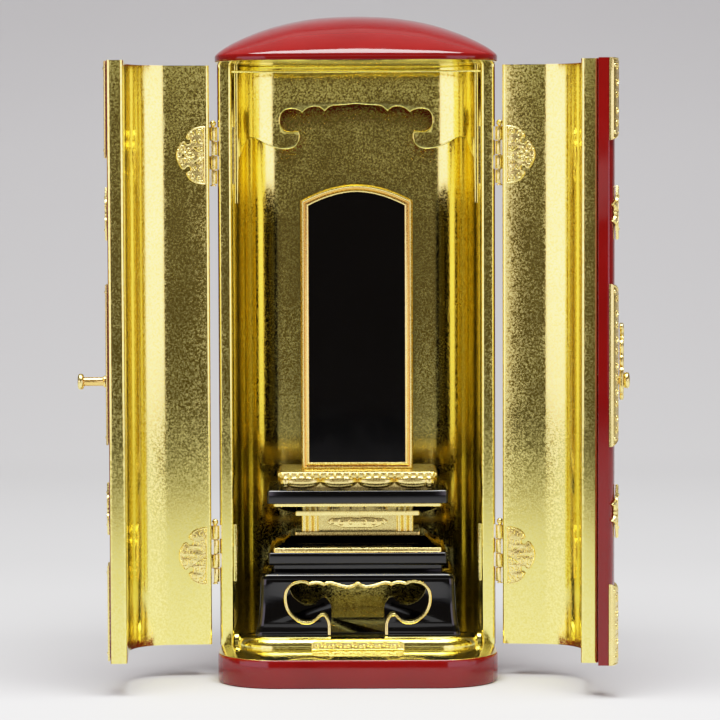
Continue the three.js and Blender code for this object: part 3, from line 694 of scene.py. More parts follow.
valance = {
    "thick": 1.4, "flatHalf": 31.9, "corner": 16.6, "bendY": 2.6, "peak": 15.4, "soften": 0.35, "slice": 1.5,
    "edge": [
        [5, 16.0, 9.2, 16.1], [11.2, 16.2, 13.1, 18.6], [14.6, 16.3, 17.4, 16.5], [20.4, 16.6, 22.3, 19.0],
        [24.4, 17.3, 27.4, 17.4], [31.6, 17.7, 31.7, 22.2], [31.5, 26.6, 27.6, 26.8],
        [25.6, 26.9, 24.0, 26.4], [22.9, 28.4, 23.9, 31.0], [25.2, 34.2, 29.4, 34.2],
        [34.2, 34.0, 38.6, 31.4], [45.4, 26.8, 49.6, 33.2], [51.2, 36.6, 55.2, 37.8],
        [55.6, 49.0, 58.8, 56.6],
    ],
}


def bothSides(start, rows):
    # an outline from its middle outwards, closed over its mirror image; rows are [bendX, bendZ, x, z]
    ends = [start] + [row[-2:] for row in rows]
    left = []
    for index in range(len(rows) - 1, -1, -1):
        x, z = ends[index]
        left.append([-rows[index][0], rows[index][1], -x, z])
    return left


def sliced(obj, places):
    # cuts across the piece at each x, so that it can be bent there
    startEdit(obj)
    for place in places:
        bpy.ops.mesh.select_all(action="SELECT")
        bpy.ops.mesh.bisect(plane_co=(place * mm, 0, 0), plane_no=(1, 0, 0))
    leaveEdit()
    return obj


def reshaped(obj, move):
    # moves every vertex by move(x, y, z), in mm
    for vert in obj.data.vertices:
        vert.co = Vector(move(*(vert.co / mm))) * mm
    obj.data.update()
    return obj


def buildValance():
    rows = [[bendX, ceiling - bendDown, x, ceiling - down] for bendX, bendDown, x, down in valance["edge"]]
    start = [0, ceiling - valance["peak"]]
    reach = rows[-1][2]
    outline = [start] + rows + [[reach, ceiling], [-reach, ceiling], [-reach, rows[-1][3]]]
    outline += bothSides(start, rows)[:-1]
    outline[0] = [-rows[0][0], rows[0][1], *start]
    obj = outlineMesh("hangingValance", outline, valance["thick"], valance["soften"])
    dress(obj, goldLeaf, redLacquer)
    paintFaces(obj, 1, lambda centre, normal: normal.y > 0.9)
    cuts = []
    place = valance["flatHalf"]
    while place < reach:
        cuts += [place, -place]
        place += valance["slice"]
    sliced(obj, cuts)
    flatHalf, corner = valance["flatHalf"], valance["corner"]
    bendLength = corner * quarterTurn

    def bent(x, y, z):
        radius = corner + y + valance["thick"] / 2
        past = abs(x) - flatHalf
        turn = min(max(past / corner, 0), quarterTurn)
        onward = max(past - bendLength, 0)
        across = min(abs(x), flatHalf) + radius * math.sin(turn)
        return math.copysign(across, x), jambY + valance["bendY"] + radius * math.cos(turn) - onward, z

    reshaped(obj, bent)
    smooth(obj, 40)
    return hang(obj, "cabinet", "gold_leaf", "valance")


buildValance()
print("valance hung")

tabletLow, tabletHigh = boxOf("tablet_foot")
# every block of the stand is narrower from front to back by the same amount
tablet = {"y": (tabletLow.y + tabletHigh.y) / 2, "narrower": 26.2, "tierCorner": 0.8, "tierSoften": 0.22}
footTop = tabletHigh.z
lowerTop, waistTop, upperTop, boardTop = [
    boxOf(f"tablet_{word}")[1].z for word in ("lower_tiers", "waist", "upper_tiers", "board")
]
petalTop = boxOf("tablet_board")[0].z


def blended(levels):
    # a smooth run through [height, width] rows, each stretch in four steps
    rows = []
    steps = 4
    for index in range(len(levels) - 1):
        a = Vector(levels[max(index - 1, 0)])
        b = Vector(levels[index])
        c = Vector(levels[index + 1])
        d = Vector(levels[min(index + 2, len(levels) - 1)])
        for step in range(steps):
            t = step / steps
            point = 0.5 * ((2 * b) + (c - a) * t + (2 * a - 5 * b + 4 * c - d) * t ** 2
                           + (3 * b - a - 3 * c + d) * t ** 3)
            rows.append([point.x, point.y])
    rows.append(list(levels[-1]))
    return rows


def steppedBlock(name, levels, radius, corners=4):
    # a block that changes width with height, its depth always narrower by the same amount
    deselectAll()
    height, width = levels[0]
    depth = width - tablet["narrower"]
    centre = (0, tablet["y"] * mm, 0)
    bpy.ops.mesh.primitive_plane_add(size=1, location=(0, tablet["y"] * mm, height * mm))
    obj = bpy.context.object
    obj.name = name
    obj.scale = (width * mm, depth * mm, 1)
    applyPlace(obj)
    startEdit(obj)
    bpy.ops.mesh.bevel(offset=radius * mm, segments=corners, affect="VERTICES")
    bpy.ops.mesh.select_all(action="SELECT")
    for nextHeight, nextWidth in levels[1:]:
        nextDepth = nextWidth - tablet["narrower"]
        extrude((0, 0, (nextHeight - height) * mm))
        bpy.ops.transform.resize(value=(nextWidth / width, nextDepth / depth, 1), center_override=centre)
        height, width, depth = nextHeight, nextWidth, nextDepth
    leaveEdit()
    return weld(obj)


def softenEdges(obj, width, degrees=40, segments=3):
    return applied(obj, "BEVEL", width=width * mm, segments=segments, limit_method="ANGLE",
                   angle_limit=math.radians(degrees))


foot = {
    "levels": [[0, 84.2], [1.2, 84.1], [4.5, 82.6], [9, 81.4], [15, 80.7], [21.9, 80.2], [23.8, 79.6],
               [24.8, 78.6], [25.4, 76.8]],
    "corner": 3, "peak": 20.9, "board": 5, "inset": 2.2, "top": 3.4, "bottom": 0.6, "soften": 0.25,
    "gilding": 0.55, "lineOut": 0.5,
    "opening": [
        [2.0, 19.2, 4.0, 19.4], [6.6, 19.5, 10.6, 21.0], [12.6, 21.4, 13.9, 20.1],
        [15.4, 21.5, 17.6, 21.1], [19.0, 21.0, 19.9, 20.4], [21.4, 21.9, 24.0, 21.4],
        [29.2, 20.6, 29.2, 15.2], [29.2, 9.2, 23.6, 6.2], [19.6, 4.6, 16.8, 7.6], [14.4, 10.6, 12.2, 7.4],
        [11.2, 5.6, 11.2, 3.6],
    ],
}


def widthAt(levels, height):
    for (lowZ, lowWidth), (highZ, highWidth) in zip(levels, levels[1:]):
        if lowZ <= height <= highZ:
            return lowWidth + (highWidth - lowWidth) * (height - lowZ) / (highZ - lowZ)
    return levels[0][1]


def sampled(outline, steps=8, closed=True, straight=0):
    # points along an outline; a straight stretch has as many as asked for, or one for about each 1.5 mm
    points = []
    for index in range(0 if closed else 1, len(outline)):
        row = outline[index]
        before = Vector(outline[index - 1][-2:])
        here = Vector(row[-2:])
        bend = Vector(row[:2]) if len(row) == 4 else (before + here) / 2
        pieces = steps if len(row) == 4 else straight or max(2, int((here - before).length / 1.5))
        for step in range(pieces):
            t = step / pieces
            points.append(before * (1 - t) ** 2 + bend * 2 * t * (1 - t) + here * t ** 2)
    if not closed:
        points.append(Vector(outline[-1][-2:]))
    return points


def buildFoot():
    levels = [[floorTop + z, width] for z, width in blended(foot["levels"])]
    obj = steppedBlock("tabletFoot", levels, foot["corner"], 6)
    y = tablet["y"]
    inside = levels[0][1] / 2 - foot["inset"] - foot["board"]
    deep = inside - tablet["narrower"] / 2
    cut(obj, block("hollow", (-inside, y - deep, floorTop - 1), (inside, y + deep, footTop - foot["top"])))
    start = [0, floorTop + foot["peak"]]
    rows = [[bendX, floorTop + bendZ, x, floorTop + z] for bendX, bendZ, x, z in foot["opening"]]
    ledge = rows[-1][2]
    outline = [[-rows[0][0], rows[0][1], *start]] + rows + [[ledge, floorTop - 1], [-ledge, floorTop - 1]]
    outline += [[-ledge, rows[-1][3]]] + bothSides(start, rows)[:-1]
    cut(obj, outlineMesh("through", outline, 120, resolution=10))
    wide, long = inside + 1, deep + 1
    bottom = block("bottom", (-wide, y - long, floorTop), (wide, y + long, floorTop + foot["bottom"]))
    cut(obj, bottom, "UNION")
    dress(obj, blackLacquer)
    softenEdges(obj, foot["soften"])
    smooth(obj, 40)
    hang(obj, "cabinet", "black_lacquer", "tablet_foot")

    # the gilt line round the opening, drawn up one side and down the other
    half = [[ledge, floorTop + 0.4], rows[-1][2:]]
    for k in range(len(rows) - 1, -1, -1):
        half.append([*rows[k][:2], *(rows[k - 1][2:] if k else start)])
    line = [(point.x, point.y) for point in sampled(half, 8, closed=False)]
    line += [(-x, z) for x, z in reversed(line[:-1])]
    route = []
    for x, z in line:
        depth = widthAt(levels, z) - tablet["narrower"]
        route.append([x, y - depth / 2, z, 1])
    gilding = wire("footGilding", [offsetRoute(route, foot["lineOut"])], foot["gilding"])
    smooth(dress(gilding, giltBrass))
    return hang(gilding, "cabinet", "gilt_brass")


def offsetRoute(route, distance):
    # the same line moved sideways in its X and Z, to the left of its run
    shifted = []
    for index, (x, y, z, share) in enumerate(route):
        before = route[max(index - 1, 0)]
        after = route[min(index + 1, len(route) - 1)]
        along = Vector((after[0] - before[0], after[2] - before[2]))
        if along.length < 1e-6:
            shifted.append([x, y, z, share])
            continue
        along.normalize()
        shifted.append([x + along.y * distance, y, z - along.x * distance, share])
    return shifted


tiers = {
    # each level is [height above the tier below, width]; the gilt bands run between two heights
    "lower": {
        "levels": [
            [0, 69.5], [2.9, 69.5], [2.9, 72.2], [3.6, 73.1], [4.4, 73.4], [7.8, 73.4], [8.2, 72.6],
            [8.2, 69], [9.8, 69], [9.8, 68], [11.5, 61.5], [14.2, 55.5], [14.2, 51.5],
        ],
        "topWidth": 51.5, "gilt": [(8.2, 9.8), (14.2, None)],
    },
    "upper": {
        "levels": [
            [0, 51.6], [1.5, 51.6], [1.5, 54], [2.6, 61], [4.7, 68.4], [4.7, 69.4], [5.9, 69.4],
            [5.9, 73.6], [6.3, 74.3], [11.1, 74.3],
        ],
        "topWidth": 73.6, "gilt": [(0, 1.5), (4.7, 5.9)],
    },
}


def buildTiers():
    for word, base, top in (("lower", footTop, lowerTop), ("upper", waistTop, upperTop)):
        tier = tiers[word]
        levels = [[base + rise, width] for rise, width in tier["levels"]] + [[top, tier["topWidth"]]]
        obj = steppedBlock(f"{word}Tiers", levels, tablet["tierCorner"])
        dress(obj, blackLacquer, giltBrass)
        softenEdges(obj, tablet["tierSoften"])
        for low, high in tier["gilt"]:
            reach = top if high is None else base + high
            paintFaces(obj, 1, lambda centre, normal: base + low < centre.z < reach and abs(normal.z) < 0.75)
        smooth(obj, 30)
        hang(obj, "cabinet", "black_lacquer", f"tablet_{word}_tiers")


def shifted(rows, x, z):
    # outline rows moved across and up
    return [[value + (z if index % 2 else x) for index, value in enumerate(row)] for row in rows]


waist = {
    "width": 46.9, "core": 1.0, "reed": 1.2, "pitch": 2.4, "reeds": 3, "firstReed": 1.3, "cloudHalf": 12.6,
    "curls": [(10.2, 0.5, 1.3, 90), (6.6, 0.1, 1.5, 60), (2.6, 0.3, 1.5, 100)],
}


def buildWaist():
    # a plain core with reeds at its corners and a cloud on its front
    half = waist["width"] / 2
    deep = (waist["width"] - tablet["narrower"]) / 2
    y = tablet["y"]
    low, high = lowerTop, waistTop
    middle = (low + high) / 2
    core = waist["core"]
    pieces = [block("waistCore", (core - half, y + core - deep, low), (half - core, y + deep - core, high))]
    deselectAll()
    bpy.ops.mesh.primitive_cylinder_add(vertices=20, radius=waist["reed"] * mm, depth=(high - low) * mm)
    reed = applyPlace(bpy.context.object)
    for side in (-1, 1):
        for face in (-1, 1):
            for k in range(waist["reeds"]):
                x = side * (half - waist["firstReed"] - k * waist["pitch"])
                pieces.append(moved(copied(reed, "reed"), (x, y + face * (deep - waist["reed"]), middle)))
    removed(reed)
    reach = waist["cloudHalf"]
    outline = shifted([
        [-4, 2.6, 0, 2.0], [4, 2.6, reach - 4, 1.9], [reach - 1.0, 2.0, reach, 0.6],
        [reach - 0.6, -1.0, reach - 3.4, -1.0], [reach - 5, -2.0, 4, -2.0], [-4, -2.0],
        [5 - reach, -2.0, 3.4 - reach, -1.0], [0.6 - reach, -1.0, -reach, 0.6],
        [1.0 - reach, 2.0, 4 - reach, 1.9],
    ], 0, middle)
    cloud = outlineMesh("cloud", outline, core + 0.6, 0.3)
    pieces.append(moved(cloud, (0, y - deep + 0.9, 0)))
    curls = []
    for side in (-1, 1):
        for x, z, size, start in waist["curls"]:
            start = start if side > 0 else 180 - start
            curls.append(scroll(side * x, middle + z, size, start, 1.2, -side, y - deep + 0.1, 14))
    pieces.append(wire("curls", curls, 0.28, 0.9, 2))
    obj = joined("giltWaist", pieces)
    smooth(dress(obj, giltBrass), 40)
    return hang(obj, "cabinet", "gilt_brass", "tablet_waist")


petals = {
    "width": 66, "slabFoot": 4.6, "beadPitch": 3.0, "bead": 0.95, "front": 4, "side": 3, "corner": 5.4,
    "bulge": 3.4, "furrow": (0.55, 0.22), "ripple": (0.175, 9.5), "coreInset": 2.5, "slabInset": 0.8,
}


def petalLobe(across, tall):
    # a rounded petal with a raised rim and a soft furrow down its middle
    deselectAll()
    bpy.ops.mesh.primitive_uv_sphere_add(segments=32, ring_count=20, radius=1)
    obj = bpy.context.object
    obj.name = "petal"
    startEdit(obj)
    bpy.ops.transform.resize(value=(across / 2 * mm, petals["bulge"] * mm, tall / 2 * mm))
    leaveEdit()
    furrowDeep, furrowWide = petals["furrow"]
    rippleHigh, rippleRate = petals["ripple"]

    def carve(x, y, z):
        if y >= 0:
            return x, y, z
        u = x / (across / 2)
        upright = max(0, 1 - (z / (tall / 2)) ** 2)
        furrow = furrowDeep * math.exp(-((u / furrowWide) ** 2)) * upright
        ripple = rippleHigh * math.cos(u * rippleRate) * max(0, 1 - u * u) * upright
        return x, y + furrow - ripple, z

    return reshaped(obj, carve)


def buildPetals():
    width = petals["width"]
    depth = width - tablet["narrower"]
    y = tablet["y"]
    slab = upperTop + petals["slabFoot"]
    tall = petals["slabFoot"] + 1.8
    centreZ = upperTop + petals["slabFoot"] / 2 + 0.9

    def slabBlock(name, inset, low, high):
        half, deep = width / 2 - inset, depth / 2 - inset
        return block(name, (-half, y - deep, low), (half, y + deep, high))

    lower = slabBlock("petalCore", petals["coreInset"], upperTop, slab + 0.6)
    upper = slabBlock("petalSlab", petals["slabInset"], slab, petalTop)
    bevelEdges(upper, vertical, 1.2, 4)
    softenEdges(upper, 0.5, 40, 4)
    pieces = [lower, upper]
    rows = (
        (petals["front"], width, depth / 2 - 3.2, 0), (petals["side"], depth, width / 2 - 3.2, quarterTurn),
    )
    for count, span, edge, turn in rows:
        pitch = (span - 5) / count
        for k in range(count):
            for side in (0, math.pi):
                petal = moved(petalLobe(pitch * 1.04, tall), ((k - (count - 1) / 2) * pitch, -edge, 0))
                moved(petal, (0, y, centreZ), (0, 0, turn + side))
                pieces.append(cutBelow(petal, upperTop))
    for signX, signY in ((1, 1), (1, -1), (-1, 1), (-1, -1)):
        petal = petalLobe(petals["corner"], tall)
        place = (signX * (width / 2 - 3.4), y - signY * (depth / 2 - 3.4), centreZ)
        moved(petal, place, (0, 0, 0 if signY < 0 else math.pi))
        pieces.append(cutBelow(petal, upperTop))
    body = joined("petalTier", pieces)
    obj = joined("petalTier", [body, beadRow(width - 1.6, depth - 1.6, slab + 1.25)])
    smooth(dress(obj, giltBrass), 40)
    return hang(obj, "cabinet", "gilt_brass", "tablet_petals")


def cutBelow(obj, height):
    # trims the piece flat at a height and closes the cut
    startEdit(obj)
    bpy.ops.mesh.bisect(plane_co=(0, 0, height * mm), plane_no=(0, 0, 1), use_fill=True, clear_inner=True)
    leaveEdit()
    return obj


def beadRow(width, depth, height):
    y = tablet["y"]
    deselectAll()
    bpy.ops.mesh.primitive_uv_sphere_add(segments=12, ring_count=8, radius=petals["bead"] * mm)
    bead = bpy.context.object
    beads = []
    for span, edge, turn in ((width, depth / 2, 0), (depth, width / 2, quarterTurn)):
        count = round(span / petals["beadPitch"])
        for k in range(count):
            along = (k - (count - 1) / 2) * span / count
            for side in (0, math.pi):
                twin = moved(copied(bead, "bead"), (along, 0.2 - edge, height))
                beads.append(moved(twin, (0, y, 0), (0, 0, turn + side)))
    removed(bead)
    return joined("beads", beads)


board = {
    "half": 23.15, "shoulder": 6.6, "thick": 12, "drop": 0.9,
    "mouldings": [
        [0.25, 0.35], [0.6, 0.05], [0.95, 0.0], [1.25, 0.12], [1.45, 0.55], [1.9, 0.72], [2.3, 0.55],
        [2.5, 0.2], [2.8, 0.1], [3.1, 0.25], [3.3, 0.9], [3.35, 1.6],
    ],
}


def archOutline(inset):
    half = board["half"] - inset
    foot0 = petalTop + inset * 0.9
    shoulder = boardTop - board["shoulder"] - inset * 0.7
    apex = boardTop - inset
    return [
        [-half, foot0], [half, foot0], [half, shoulder], [half * 0.48, apex - 0.2, 0, apex],
        [-half * 0.48, apex - 0.2, -half, shoulder],
    ]


def buildBoard():
    # a board with an arched head, its front sunk behind a moulded frame
    obj = outlineMesh("tabletBoard", archOutline(0), board["thick"] - board["drop"], resolution=12)
    moved(obj, (0, tablet["y"] + board["drop"] / 2, 0))
    applied(obj, "DECIMATE", decimate_type="DISSOLVE", angle_limit=math.radians(0.5))
    front = tablet["y"] - board["thick"] / 2
    rim = sampled(archOutline(0), 12, straight=1)
    nearest = []
    for place in numbered(obj, lambda centre, normal: normal.y < -0.9):
        here = Vector((place.x, place.z))
        nearest.append(min(range(len(rim)), key=lambda k: (rim[k] - here).length))
    for inset, drop in board["mouldings"]:
        ring = sampled(archOutline(inset), 12, straight=1)

        def placeOf(number):
            place = ring[nearest[number]]
            return Vector((place.x, front + drop, place.y))

        nextRing(obj, placeOf)
    leaveEdit()
    weld(obj)
    dress(obj, blackLacquer, giltBrass)
    deepest = front + board["mouldings"][-1][1] - 0.01
    frameBack = front + board["drop"]

    def gilt(centre, normal):
        return front - 1 < centre.y < deepest and (centre.y < frameBack or -0.5 < normal.y < -0.01)

    paintFaces(obj, 1, gilt)
    smooth(obj, 25)
    return hang(obj, "cabinet", "black_lacquer", "tablet_board")


buildFoot()
buildTiers()
buildWaist()
buildPetals()
buildBoard()
print("tablet stood")


def mirrorRows(curls):
    # each [x, z, size, start, turns, hand] scroll with its twin across the X axis
    both = []
    for x, z, size, start, turns, hand in curls:
        both.append([x, z, size, start, turns, hand])
        if abs(z) > 0.01:
            both.append([x, -z, size, -start, turns, -hand])
    return both


def rimRoute(outline, inset, y, steps=6):
    points = sampled(outline, steps)
    route = []
    count = len(points)
    for index, point in enumerate(points):
        along = (points[(index + 1) % count] - points[index - 1])
        if along.length < 1e-6:
            continue
        along.normalize()
        route.append([point.x - along.y * inset, y, point.y + along.x * inset, 1])
    return route


hinge = {
    "length": 23.2, "barrel": 1.8, "bore": 0.95, "gap": 0.3, "knuckles": 4, "leaf": 0.6, "relief": 0.3,
    "backThick": 1.1, "edgeGap": 1.6, "tongue": 2.4, "tongueRoot": 1.4,
    "line": 0.3, "rim": 0.3, "rimInset": 0.35, "nail": (0.55, 0.45),
    # how far each leaf's plate runs from its board's edge, and where its tongues end
    "doorEnds": (2.5, 0.9), "caseEnds": (3.4, 0.1),
    "fan": [
        [0, -11.8], [6.6, -11.8, 7.8, -7.4], [7.2, -6.2, 6.1, -6.4], [5.6, -4.2, 7.6, -4.6],
        [8.6, -6.6, 10.0, -5.0], [13.6, 0, 10.0, 5.0], [8.6, 6.6, 7.6, 4.6], [5.6, 4.2, 6.1, 6.4],
        [7.2, 6.2, 7.8, 7.4], [6.6, 11.8, 0, 11.8],
    ],
    "eyes": [[4.0, 3.0, 0.6], [4.0, -3.0, 0.6], [9.0, 0, 0.6]],
    "curls": [
        [5.3, 8.3, 1.7, -60, 1.3, 1], [2.4, 9.2, 1.7, 200, 1.3, -1], [2.0, 5.9, 1.6, 120, 1.3, 1],
        [4.6, 5.4, 1.1, 250, 1.1, -1], [6.6, 2.1, 1.5, 200, 1.3, 1], [9.6, 2.9, 1.6, 250, 1.3, -1],
        [1.6, 2.7, 1.2, 60, 1.2, -1], [10.9, 0, 0.8, 180, 0.9, 1], [2.3, 0, 1.2, 180, 1.2, 1],
        [5.0, 0, 1.0, 0, 1.1, -1], [7.4, 0.0, 0.8, 180, 0.9, 1],
    ],
    "veins": [
        [[0.4, 0.8, 1], [3.0, 1.6, 0.8], [5.4, 3.4, 0.5]],
        [[0.4, 4.2, 1], [1.0, 7.4, 0.8], [4.0, 10.6, 0.5]],
        [[7.9, 1.3, 1], [9.6, 1.2, 0.8], [10.6, 3.6, 0.5]],
    ],
    "nails": [[1.1, 10.6], [1.1, -10.6], [6.9, 8.0], [6.9, -8.0], [11.0, 1.9], [11.0, -1.9]],
    # [radius, height]: below the lowest knuckle, then above the highest
    "pinFoot": [[1.2, -0.9], [1.2, -0.35], [0.65, -0.34]],
    "pinHead": [[0.65, 0.34], [0.9, 0.35], [1.25, 0.8], [1.4, 1.4], [1.3, 1.9], [0.95, 2.4], [0.5, 2.7],
                [0.1, 2.8]],
}


def fanPlate():
    # a pierced leaf with raised scrolls, veins, a rim and nail heads
    plate = outlineMesh("fan", hinge["fan"], hinge["leaf"], 0.12, hinge["eyes"], resolution=6, bevelSteps=1)
    front = -hinge["leaf"] / 2
    lines = [scroll(x, z, size, start, turns, hand, front, 16)
             for x, z, size, start, turns, hand in mirrorRows(hinge["curls"])]
    for side in (-1, 1):
        for vein in hinge["veins"]:
            lines.append([[x, front, side * z, share] for x, z, share in vein])
    rim = rimWire(hinge["fan"], hinge["rimInset"], front, hinge["rim"], 0.8)
    heads = nailHeads(hinge["nails"], front, *hinge["nail"], 12)
    return joined("fan", [plate, wire("curls", lines, hinge["line"], 0.9, 1), rim, *heads])


def knuckleLength():
    return (hinge["length"] - hinge["gap"] * (hinge["knuckles"] - 1)) / hinge["knuckles"]


def knuckle():
    deselectAll()
    length = knuckleLength() * mm
    bpy.ops.mesh.primitive_cylinder_add(vertices=36, radius=hinge["barrel"] * mm, depth=length)
    ring = applyPlace(bpy.context.object)
    bevelEdges(ring, lambda a, b: abs(a.z - b.z) < 0.01, 0.16, 2)
    bpy.ops.mesh.primitive_cylinder_add(vertices=24, radius=hinge["bore"] * mm, depth=2 * length)
    return cut(ring, applyPlace(bpy.context.object))


def hingeLeaf(name, edgeY, boardThick, firstKnuckle, fan, ring):
    # drawn about the hinge axis for the right side, on a board whose edge lies at edgeY
    away = math.copysign(1, edgeY)
    plateEnd, tongueEnd = hinge["doorEnds"] if away < 0 else hinge["caseEnds"]
    half = hinge["length"] / 2
    leafX = halfWidth - hingeX - boardThick - hinge["relief"] - hinge["leaf"]
    near = edgeY + away * hinge["edgeGap"]
    ends = sorted((near, edgeY + away * plateEnd))
    back = block("return", (leafX, ends[0], -half), (leafX + hinge["backThick"], ends[1], half))
    turn = (0, 0, -quarterTurn) if away < 0 else (math.pi, 0, quarterTurn)
    plate = moved(copied(fan, "fan"), (leafX + hinge["leaf"] / 2, near, 0), turn)
    pieces = [plate, dress(back, goldLeaf)]
    reach = sorted((edgeY + away * hinge["tongueRoot"], edgeY + tongueEnd))
    length = knuckleLength()
    for index in (firstKnuckle, firstKnuckle + 2):
        top = half - index * (length + hinge["gap"])
        pieces.append(moved(copied(ring, "knuckle"), (0, 0, top - length / 2)))
        low = (-hinge["barrel"] - hinge["tongue"], reach[0], top - length)
        pieces.append(block("tongue", low, (-1.1, reach[1], top)))
    return joined(name, pieces)


def buildHinges():
    fan = dress(fanPlate(), giltBrass)
    ring = dress(knuckle(), giltBrass)
    doorLeaf = hingeLeaf("doorLeaf", -case["doorEdge"], case["doorThick"], 1, fan, ring)
    caseLeaf = hingeLeaf("caseLeaf", jambY - hingeY, case["wall"], 0, fan, ring)
    half = hinge["length"] / 2
    profile = [[radius, height - half] for radius, height in hinge["pinFoot"]]
    profile += [[radius, height + half] for radius, height in hinge["pinHead"]]
    pin = dress(turned("pin", profile, 24), giltBrass)
    for piece in (doorLeaf, caseLeaf, pin):
        smooth(piece, 40)
    for side, sign in signs.items():
        for level in ("upper", "lower"):
            low, high = boxOf(f"{side}_{level}_case_leaf")
            height = (low.z + high.z) / 2
            word = f"{side}{level.title()}"
            leaf = moved(copied(doorLeaf, f"{word}DoorLeaf"), (0, 0, height))
            hangOnDoor(leaf, side, "gilt_brass", f"{side}_{level}_door_leaf")
            fixed = ((caseLeaf, "CaseLeaf", "case_leaf"), (pin, "HingePin", "hinge_pin"))
            for source, name, solidName in fixed:
                twin = copied(source, f"{word}{name}")
                if side == "left":
                    flipAcross(twin)
                moved(twin, (sign * hingeX, hingeY, height))
                hang(twin, "cabinet", "gilt_brass", f"{side}_{level}_{solidName}")
    for spare in (fan, ring, doorLeaf, caseLeaf, pin):
        removed(spare)


buildHinges()
print("hinges fitted")

strip = {"half": 6.5, "flat": 3.0, "crown": 3.2, "seat": 0.3, "steps": 16}
fitting = {
    "thick": 1.0, "flatThick": 0.7, "corner": 31.8, "notch": 2.5, "centreHalf": 31.6, "flower": 58.2,
    "near": 7.2, "far": 19, "leftCorner": 38, "line": 0.3, "rim": 0.32, "rimInset": 0.45, "nail": (0.7, 0.6),
}


def crownAt(across):
    share = min(abs(across) / (strip["half"] + 0.1), 1)
    return -doorReach - strip["seat"] - strip["flat"] - strip["crown"] * math.sqrt(1 - share ** 2)


def buildStrip():
    # a long strip with a rounded front, drawn as its plan and stood upright
    back = doorReach + strip["seat"]
    half, flat = strip["half"], strip["flat"]
    plan = [[-half, back], [half, back], [half, back + flat]]
    for k in range(1, strip["steps"]):
        across = half * math.cos(math.pi * k / strip["steps"])
        plan.append([across, -crownAt(across)])
    plan.append([-half, back + flat])
    obj = outlineMesh("meetingStrip", plan, doorHead - doorFoot, 0)
    obj.rotation_euler.x = -quarterTurn
    applyPlace(obj)
    reshaped(obj, lambda x, y, z: (x - hingeX, -y, z))
    startEdit(obj)
    bpy.ops.mesh.normals_make_consistent(inside=False)
    leaveEdit()
    moved(obj, (0, 0, doorMiddle))
    dress(obj, redLacquer)
    softenEdges(obj, 0.4, 50)
    smooth(obj, 30)
    return hangOnDoor(obj, "right", "red_lacquer", "meeting_strip")


def notchedPlate(left, right, low, high, lowNotch, highNotch):
    # a plate whose ends may be cut in, in two soft bends
    middle = (left + right) / 2
    nearLeft = (left + middle) / 2
    nearRight = (right + middle) / 2
    lowBend = low + lowNotch * 0.4
    highBend = high - highNotch * 0.4
    return [
        [left, low], [nearLeft, lowBend, middle, low + lowNotch], [nearRight, lowBend, right, low],
        [right, high], [nearRight, highBend, middle, high - highNotch], [nearLeft, highBend, left, high],
    ]


flower = [
    [-1.7, -7.4, 0, -10.5], [1.7, -7.4, 2.6, -5.0], [6.1, -3.2], [3.0, -1.3, 4.2, 0], [3.0, 1.3, 6.1, 3.2],
    [2.6, 5.0], [1.7, 7.4, 0, 10.5], [-1.7, 7.4, -2.6, 5.0], [-6.1, 3.2], [-3.0, 1.3, -4.2, 0],
    [-3.0, -1.3, -6.1, -3.2], [-2.6, -5.0],
]


def vine(left, right, low, high, y):
    # paired scrolls climbing a middle stem
    middle = (left + right) / 2
    half = (right - left) / 2
    size = half * 0.36
    count = max(2, round((high - low) / (size * 2.5)))
    pitch = (high - low) / count
    lines = [[[middle + 0.25 * math.sin(k * 1.3), y, low + (high - low) * k / 24, 0.9] for k in range(25)]]
    for k in range(count):
        z = low + pitch * (k + 0.5)
        for side in (-1, 1):
            start = 180 if side > 0 else 0
            hand = side if k % 2 else -side
            reach = side * half
            lines.append(scroll(middle + reach * 0.5, z, size, start, 1.3, hand, y, 16))
            lines.append([[middle + reach * 0.4, y, z + pitch * 0.5, 0.9],
                          [middle + reach * 0.86, y, z + pitch * 0.38, 0.5]])
    return lines


def flowerLines(x0, z0, y):
    # a stem up and down, two leaves and two scrolls at each end, and a scroll in the middle
    lines = []
    for side in (-1, 1):
        lines.append([[x0, y, z0 + side * reach, share] for reach, share in ((1.4, 1), (5, 0.9), (9.4, 0.3))])
        for hand in (-1, 1):
            leaf = ((1.2, 1.0, 1), (3.2, 2.2, 0.8), (5.2, 2.9, 0.3))
            lines.append([[x0 + hand * x, y, z0 + side * z, share] for x, z, share in leaf])
            lines.append(scroll(x0 + hand * 1.15, z0 + side * 4.0, 1.0, 90 * side, 1.1, -hand * side, y, 12))
        lines.append([[x0, y, z0, 1], [x0 + side * 3.6, y, z0, 0.5]])
    lines.append(scroll(x0, z0, 1.3, 0, 1.6, 1, y, 16))
    return lines


def fittingPlate(name, outline, thick, lines, nails, wrap):
    # a raised plate with its nail heads, flat on the door or bent over the meeting strip
    plate = outlineMesh(name, outline, thick, 0.15, resolution=5, bevelSteps=1)
    front = -thick / 2
    if wrap:
        half = (strip["half"] - 0.1) * 0.995
        sliced(plate, [half * math.cos(math.pi * k / 18) for k in range(1, 18)])
    rim = rimWire(outline, fitting["rimInset"], front, fitting["rim"], 0.8)
    relief = wire("relief", lines, fitting["line"], 0.85, 1)
    obj = joined(name, [plate, rim, relief, *nailHeads(nails, front, *fitting["nail"], 14)])
    seat = -strip["seat"] - thick / 2
    if wrap:
        limit = strip["half"] - 0.02
        reshaped(obj, lambda x, y, z: (x, crownAt(max(-limit, min(limit, x))) + seat + y, z))
        moved(obj, (-hingeX, 0, 0))
    else:
        moved(obj, (-hingeX, seat - doorReach, 0))
    return smooth(dress(obj, giltBrass), 40)


def plateNails(left, right, low, high, inset):
    return [[x, z] for x in (left + inset, right - inset) for z in (low + inset * 2, high - inset * 2)]


